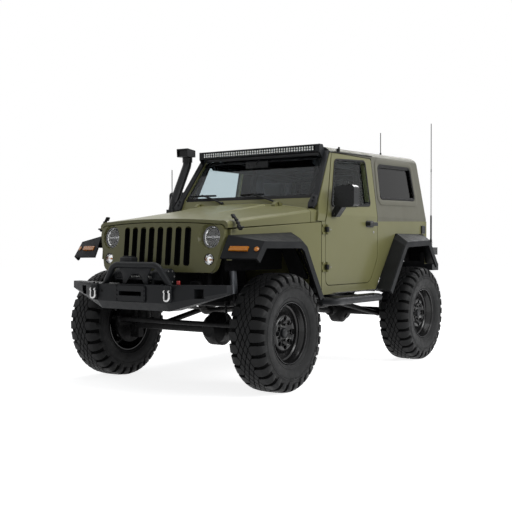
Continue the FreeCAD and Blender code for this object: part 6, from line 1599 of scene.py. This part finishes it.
class VEHICLE_OT_recovery(Operator):
    """Winch rope, ribs and bolts, dark sheets painted as the shade of bumper slots, isolator cap and step
    treads
    """

    bl_idname = "vehicle.recovery"
    bl_label = "Winch and steps"

    def execute(self, context):
        bm = bmesh.new()
        wire = []
        turns, sides = 17, 18
        for index in range(turns * sides + 1):
            turn = math.tau * index / sides
            wire.append((winch_x + drum_radius * math.cos(turn), -0.106 + 0.212 * index / (turns * sides),
                         winch_z + drum_radius * math.sin(turn)))
        added(bm, tube(wire, rope_radius, sides=1), index=1)
        for hand in (1, -1):
            for step in range(5):
                y = 0.168 + 0.018 * step
                added(bm, ring(0.0585, 0.0022, 40, 6), Matrix.Translation((winch_x, y * hand, winch_z)), 0)
            for index in range(6):
                turn = math.tau * index / 6
                at = Vector((winch_x + 0.046 * math.cos(turn), 0.2615 * hand,
                             winch_z + 0.046 * math.sin(turn)))
                added(bm, hex_bolt(at, (0, hand, 0), 0.010, 0.005), index=1)
        piece("winch_details", bm, "chassis", [finish("powder_coat"), finish("zinc_steel")], crease=35)
        # Thin dark sheets on the bumper stand for slots and a round hole: painted shade where no opening is
        # cut
        marks = bmesh.new()
        added(marks, block(1.9492, 1.9504, -0.110, 0.110, 0.7995, 0.8035))
        added(marks, rod((1.9488, -0.300, 0.775), (1.9505, -0.300, 0.775), 0.010, 20))
        added(marks, block(1.905, 1.951, -0.0035, 0.0035, 0.8285, 0.8300))
        piece("bumper_marks", marks, "chassis", finish("shut_line"))
        switch = rod((1.862, 0.392, bumper_top_z), (1.862, 0.392, 0.862), 0.014, 20, edge=0.003)
        piece("isolator_cap", switch, "chassis", finish("cap_red"))
        self.step_treads()
        return {"FINISHED"}

    def step_treads(self):
        """Rows of raised teeth along the top of each step."""
        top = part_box("side_steps")[1][2]
        tooth = block(-0.007, 0.007, -0.0022, 0.0022, 0, 0.0035, 0.0010, 1)
        bed = block(-0.40, 0.46, 0.868, 0.926, top - 0.0005, top + 0.0012, 0.0005, 1)
        for y in (0.876, 0.890, 0.904, 0.918):
            for index in range(34):
                x = -0.385 + index * 0.0245
                added(bed, tooth.copy(), Matrix.Translation((x, y, top + 0.001)))
        tooth.free()
        piece("step_treads", both_sides(bed), "chassis", finish("powder_coat"))


# Cabin

class VEHICLE_OT_cabin(Operator):
    """Seats with padded cloth, dashboard, steering wheel, roll cage and inner mirror"""

    bl_idname = "vehicle.cabin"
    bl_label = "Cabin"

    def execute(self, context):
        plastic = finish("cabin_plastic")
        dressed("dashboard", plastic, 0.012, 3)
        dressed("steering_wheel", finish("smooth_plastic"), 0.002, crease=60)
        dressed("roll_cage", plastic, 0.002, crease=50)
        self.padded_seats(context)
        self.inner_mirror()
        self.dash_details()
        return {"FINISHED"}

    def padded_seats(self, context):
        cloth, plush = woven_cloth(context), context.scene.vehicle_cabin.plush
        for node in ("front_seats", "rear_bench"):
            pad = copied(node)
            bmesh.ops.triangulate(pad, faces=pad.faces)
            for face in pad.faces:
                face.smooth = True
            mesh = bpy.data.meshes.new(node + "_padded")
            pad.to_mesh(mesh)
            pad.free()
            mesh.materials.append(cloth)
            seat = bpy.data.objects.new(node + "_padded", mesh)
            context.scene.collection.objects.link(seat)
            self.stuffed(context, seat, plush)
            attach(seat, body_of_node[node])
            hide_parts(node)

    def stuffed(self, context, seat, plush):
        """Shrink, remesh and swell a pad, with a cap on how far its skin may move."""
        self.applied(context, seat, "REMESH", {"mode": "VOXEL", "voxel_size": pad_voxel})
        source = bmesh.new()
        source.from_mesh(seat.data)
        bmesh.ops.smooth_vert(source, verts=source.verts, factor=0.5, use_axis_x=True, use_axis_y=True,
                              use_axis_z=True)
        source.normal_update()
        for vert in source.verts:
            vert.co -= vert.normal * pad_shrink
        source.to_mesh(seat.data)
        source.free()
        rest = [vert.co.copy() for vert in seat.data.vertices]
        swell = seat.modifiers.new("swell", "CLOTH")
        swell.settings.quality = 5
        swell.settings.mass = 0.3
        swell.settings.use_pressure = True
        swell.settings.uniform_pressure_force = 4
        swell.settings.effector_weights.gravity = 0
        for frame_number in range(1, cloth_frames + 1):
            context.scene.frame_set(frame_number)
        graph = context.evaluated_depsgraph_get()
        swelled = seat.evaluated_get(graph).to_mesh()
        swollen = [vert.co.copy() for vert in swelled.vertices]
        seat.evaluated_get(graph).to_mesh_clear()
        seat.modifiers.remove(swell)
        context.scene.frame_set(1)
        for vert, start, end in zip(seat.data.vertices, rest, swollen):
            step = end - start
            vert.co = start + step * min(1.0, plush / max(step.length, 1e-6))
        self.applied(context, seat, "SUBSURF", {"levels": 1, "render_levels": 1})
        seat.data.shade_smooth()

    def applied(self, context, seat, kind, values):
        """Add a modifier and make its result the object's mesh."""
        change = seat.modifiers.new("change", kind)
        for name, value in values.items():
            setattr(change, name, value)
        context.view_layer.update()
        graph = context.evaluated_depsgraph_get()
        result = bpy.data.meshes.new_from_object(seat.evaluated_get(graph))
        seat.modifiers.remove(change)
        before, name = seat.data, seat.data.name
        seat.data = result
        bpy.data.meshes.remove(before)
        result.name = name

    def inner_mirror(self):
        """Mirror on a short stem over the windscreen."""
        bm = block(0.232, 0.252, -0.124, 0.124, 1.822, 1.892, 0.010, 3)
        moved(bm, Matrix.Translation((0, -0.03, 0)))
        added(bm, tube([(0.250, -0.03, 1.86), (0.262, -0.02, 1.885), (0.240, 0, 1.905)], 0.006, sides=2))
        glass = block(0.2300, 0.2325, -0.145, 0.085, 1.829, 1.885, 0.001, 1)
        added(bm, glass, index=1)
        piece("inner_mirror", bm, "chassis", [finish("smooth_plastic"), finish("mirror_glass")])

    def dash_details(self):
        """Round vents with slats on the dashboard."""
        low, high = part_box("dashboard")
        face, top = low[0], high[2]
        bm = bmesh.new()
        for y in (-0.56, -0.20, 0.02, 0.60):
            added(bm, rod((face - 0.006, y, top - 0.075), (face + 0.012, y, top - 0.075), 0.040, 28,
                          edge=0.004))
            for slat in range(5):
                lift = -0.026 + 0.013 * slat
                added(bm, block(face - 0.010, face - 0.004, y - 0.030, y + 0.030, top - 0.077 + lift,
                                top - 0.073 + lift, 0.001, 1))
        piece("dash_vents", bm, "chassis", finish("smooth_plastic"))


# Main run

groups = (PaintSettings, TyreSettings, WheelSettings, LampSettings, CabinSettings, StageSettings)
steps = (
    VEHICLE_OT_stage, VEHICLE_OT_panels, VEHICLE_OT_armour, VEHICLE_OT_running_gear, VEHICLE_OT_tyres,
    VEHICLE_OT_wheels, VEHICLE_OT_glass, VEHICLE_OT_lamps, VEHICLE_OT_fittings, VEHICLE_OT_recovery,
    VEHICLE_OT_cabin,
)


class VEHICLE_PT_sidebar(Panel):
    """Lists the vehicle's pieces and their sizes"""

    bl_idname = "VEHICLE_PT_sidebar"
    bl_label = "Vehicle"
    bl_space_type = "VIEW_3D"
    bl_region_type = "UI"
    bl_category = "Vehicle"

    def draw(self, context):
        scene = context.scene
        for holder in (scene.vehicle_paint, scene.vehicle_tyres, scene.vehicle_wheels, scene.vehicle_lamps,
                       scene.vehicle_cabin, scene.vehicle_stage):
            box = self.layout.box()
            for name in holder.__annotations__:
                box.prop(holder, name)
        for step in steps:
            self.layout.operator(step.bl_idname)


def register():
    for item in (*groups, *steps, VEHICLE_PT_sidebar):
        bpy.utils.register_class(item)
    bpy.types.Scene.vehicle_paint = PointerProperty(type=PaintSettings)
    bpy.types.Scene.vehicle_tyres = PointerProperty(type=TyreSettings)
    bpy.types.Scene.vehicle_wheels = PointerProperty(type=WheelSettings)
    bpy.types.Scene.vehicle_lamps = PointerProperty(type=LampSettings)
    bpy.types.Scene.vehicle_cabin = PointerProperty(type=CabinSettings)
    bpy.types.Scene.vehicle_stage = PointerProperty(type=StageSettings)


def unregister():
    for name in ("paint", "tyres", "wheels", "lamps", "cabin", "stage"):
        delattr(bpy.types.Scene, "vehicle_" + name)
    for item in reversed((*groups, *steps, VEHICLE_PT_sidebar)):
        bpy.utils.unregister_class(item)


def main():
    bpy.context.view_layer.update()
    register()
    for step in steps:
        space, name = step.bl_idname.split(".")
        result = getattr(getattr(bpy.ops, space), name)()
        if result != {"FINISHED"}:
            raise RuntimeError(step.bl_label + " did not finish")


if __name__ == "__main__":
    main()
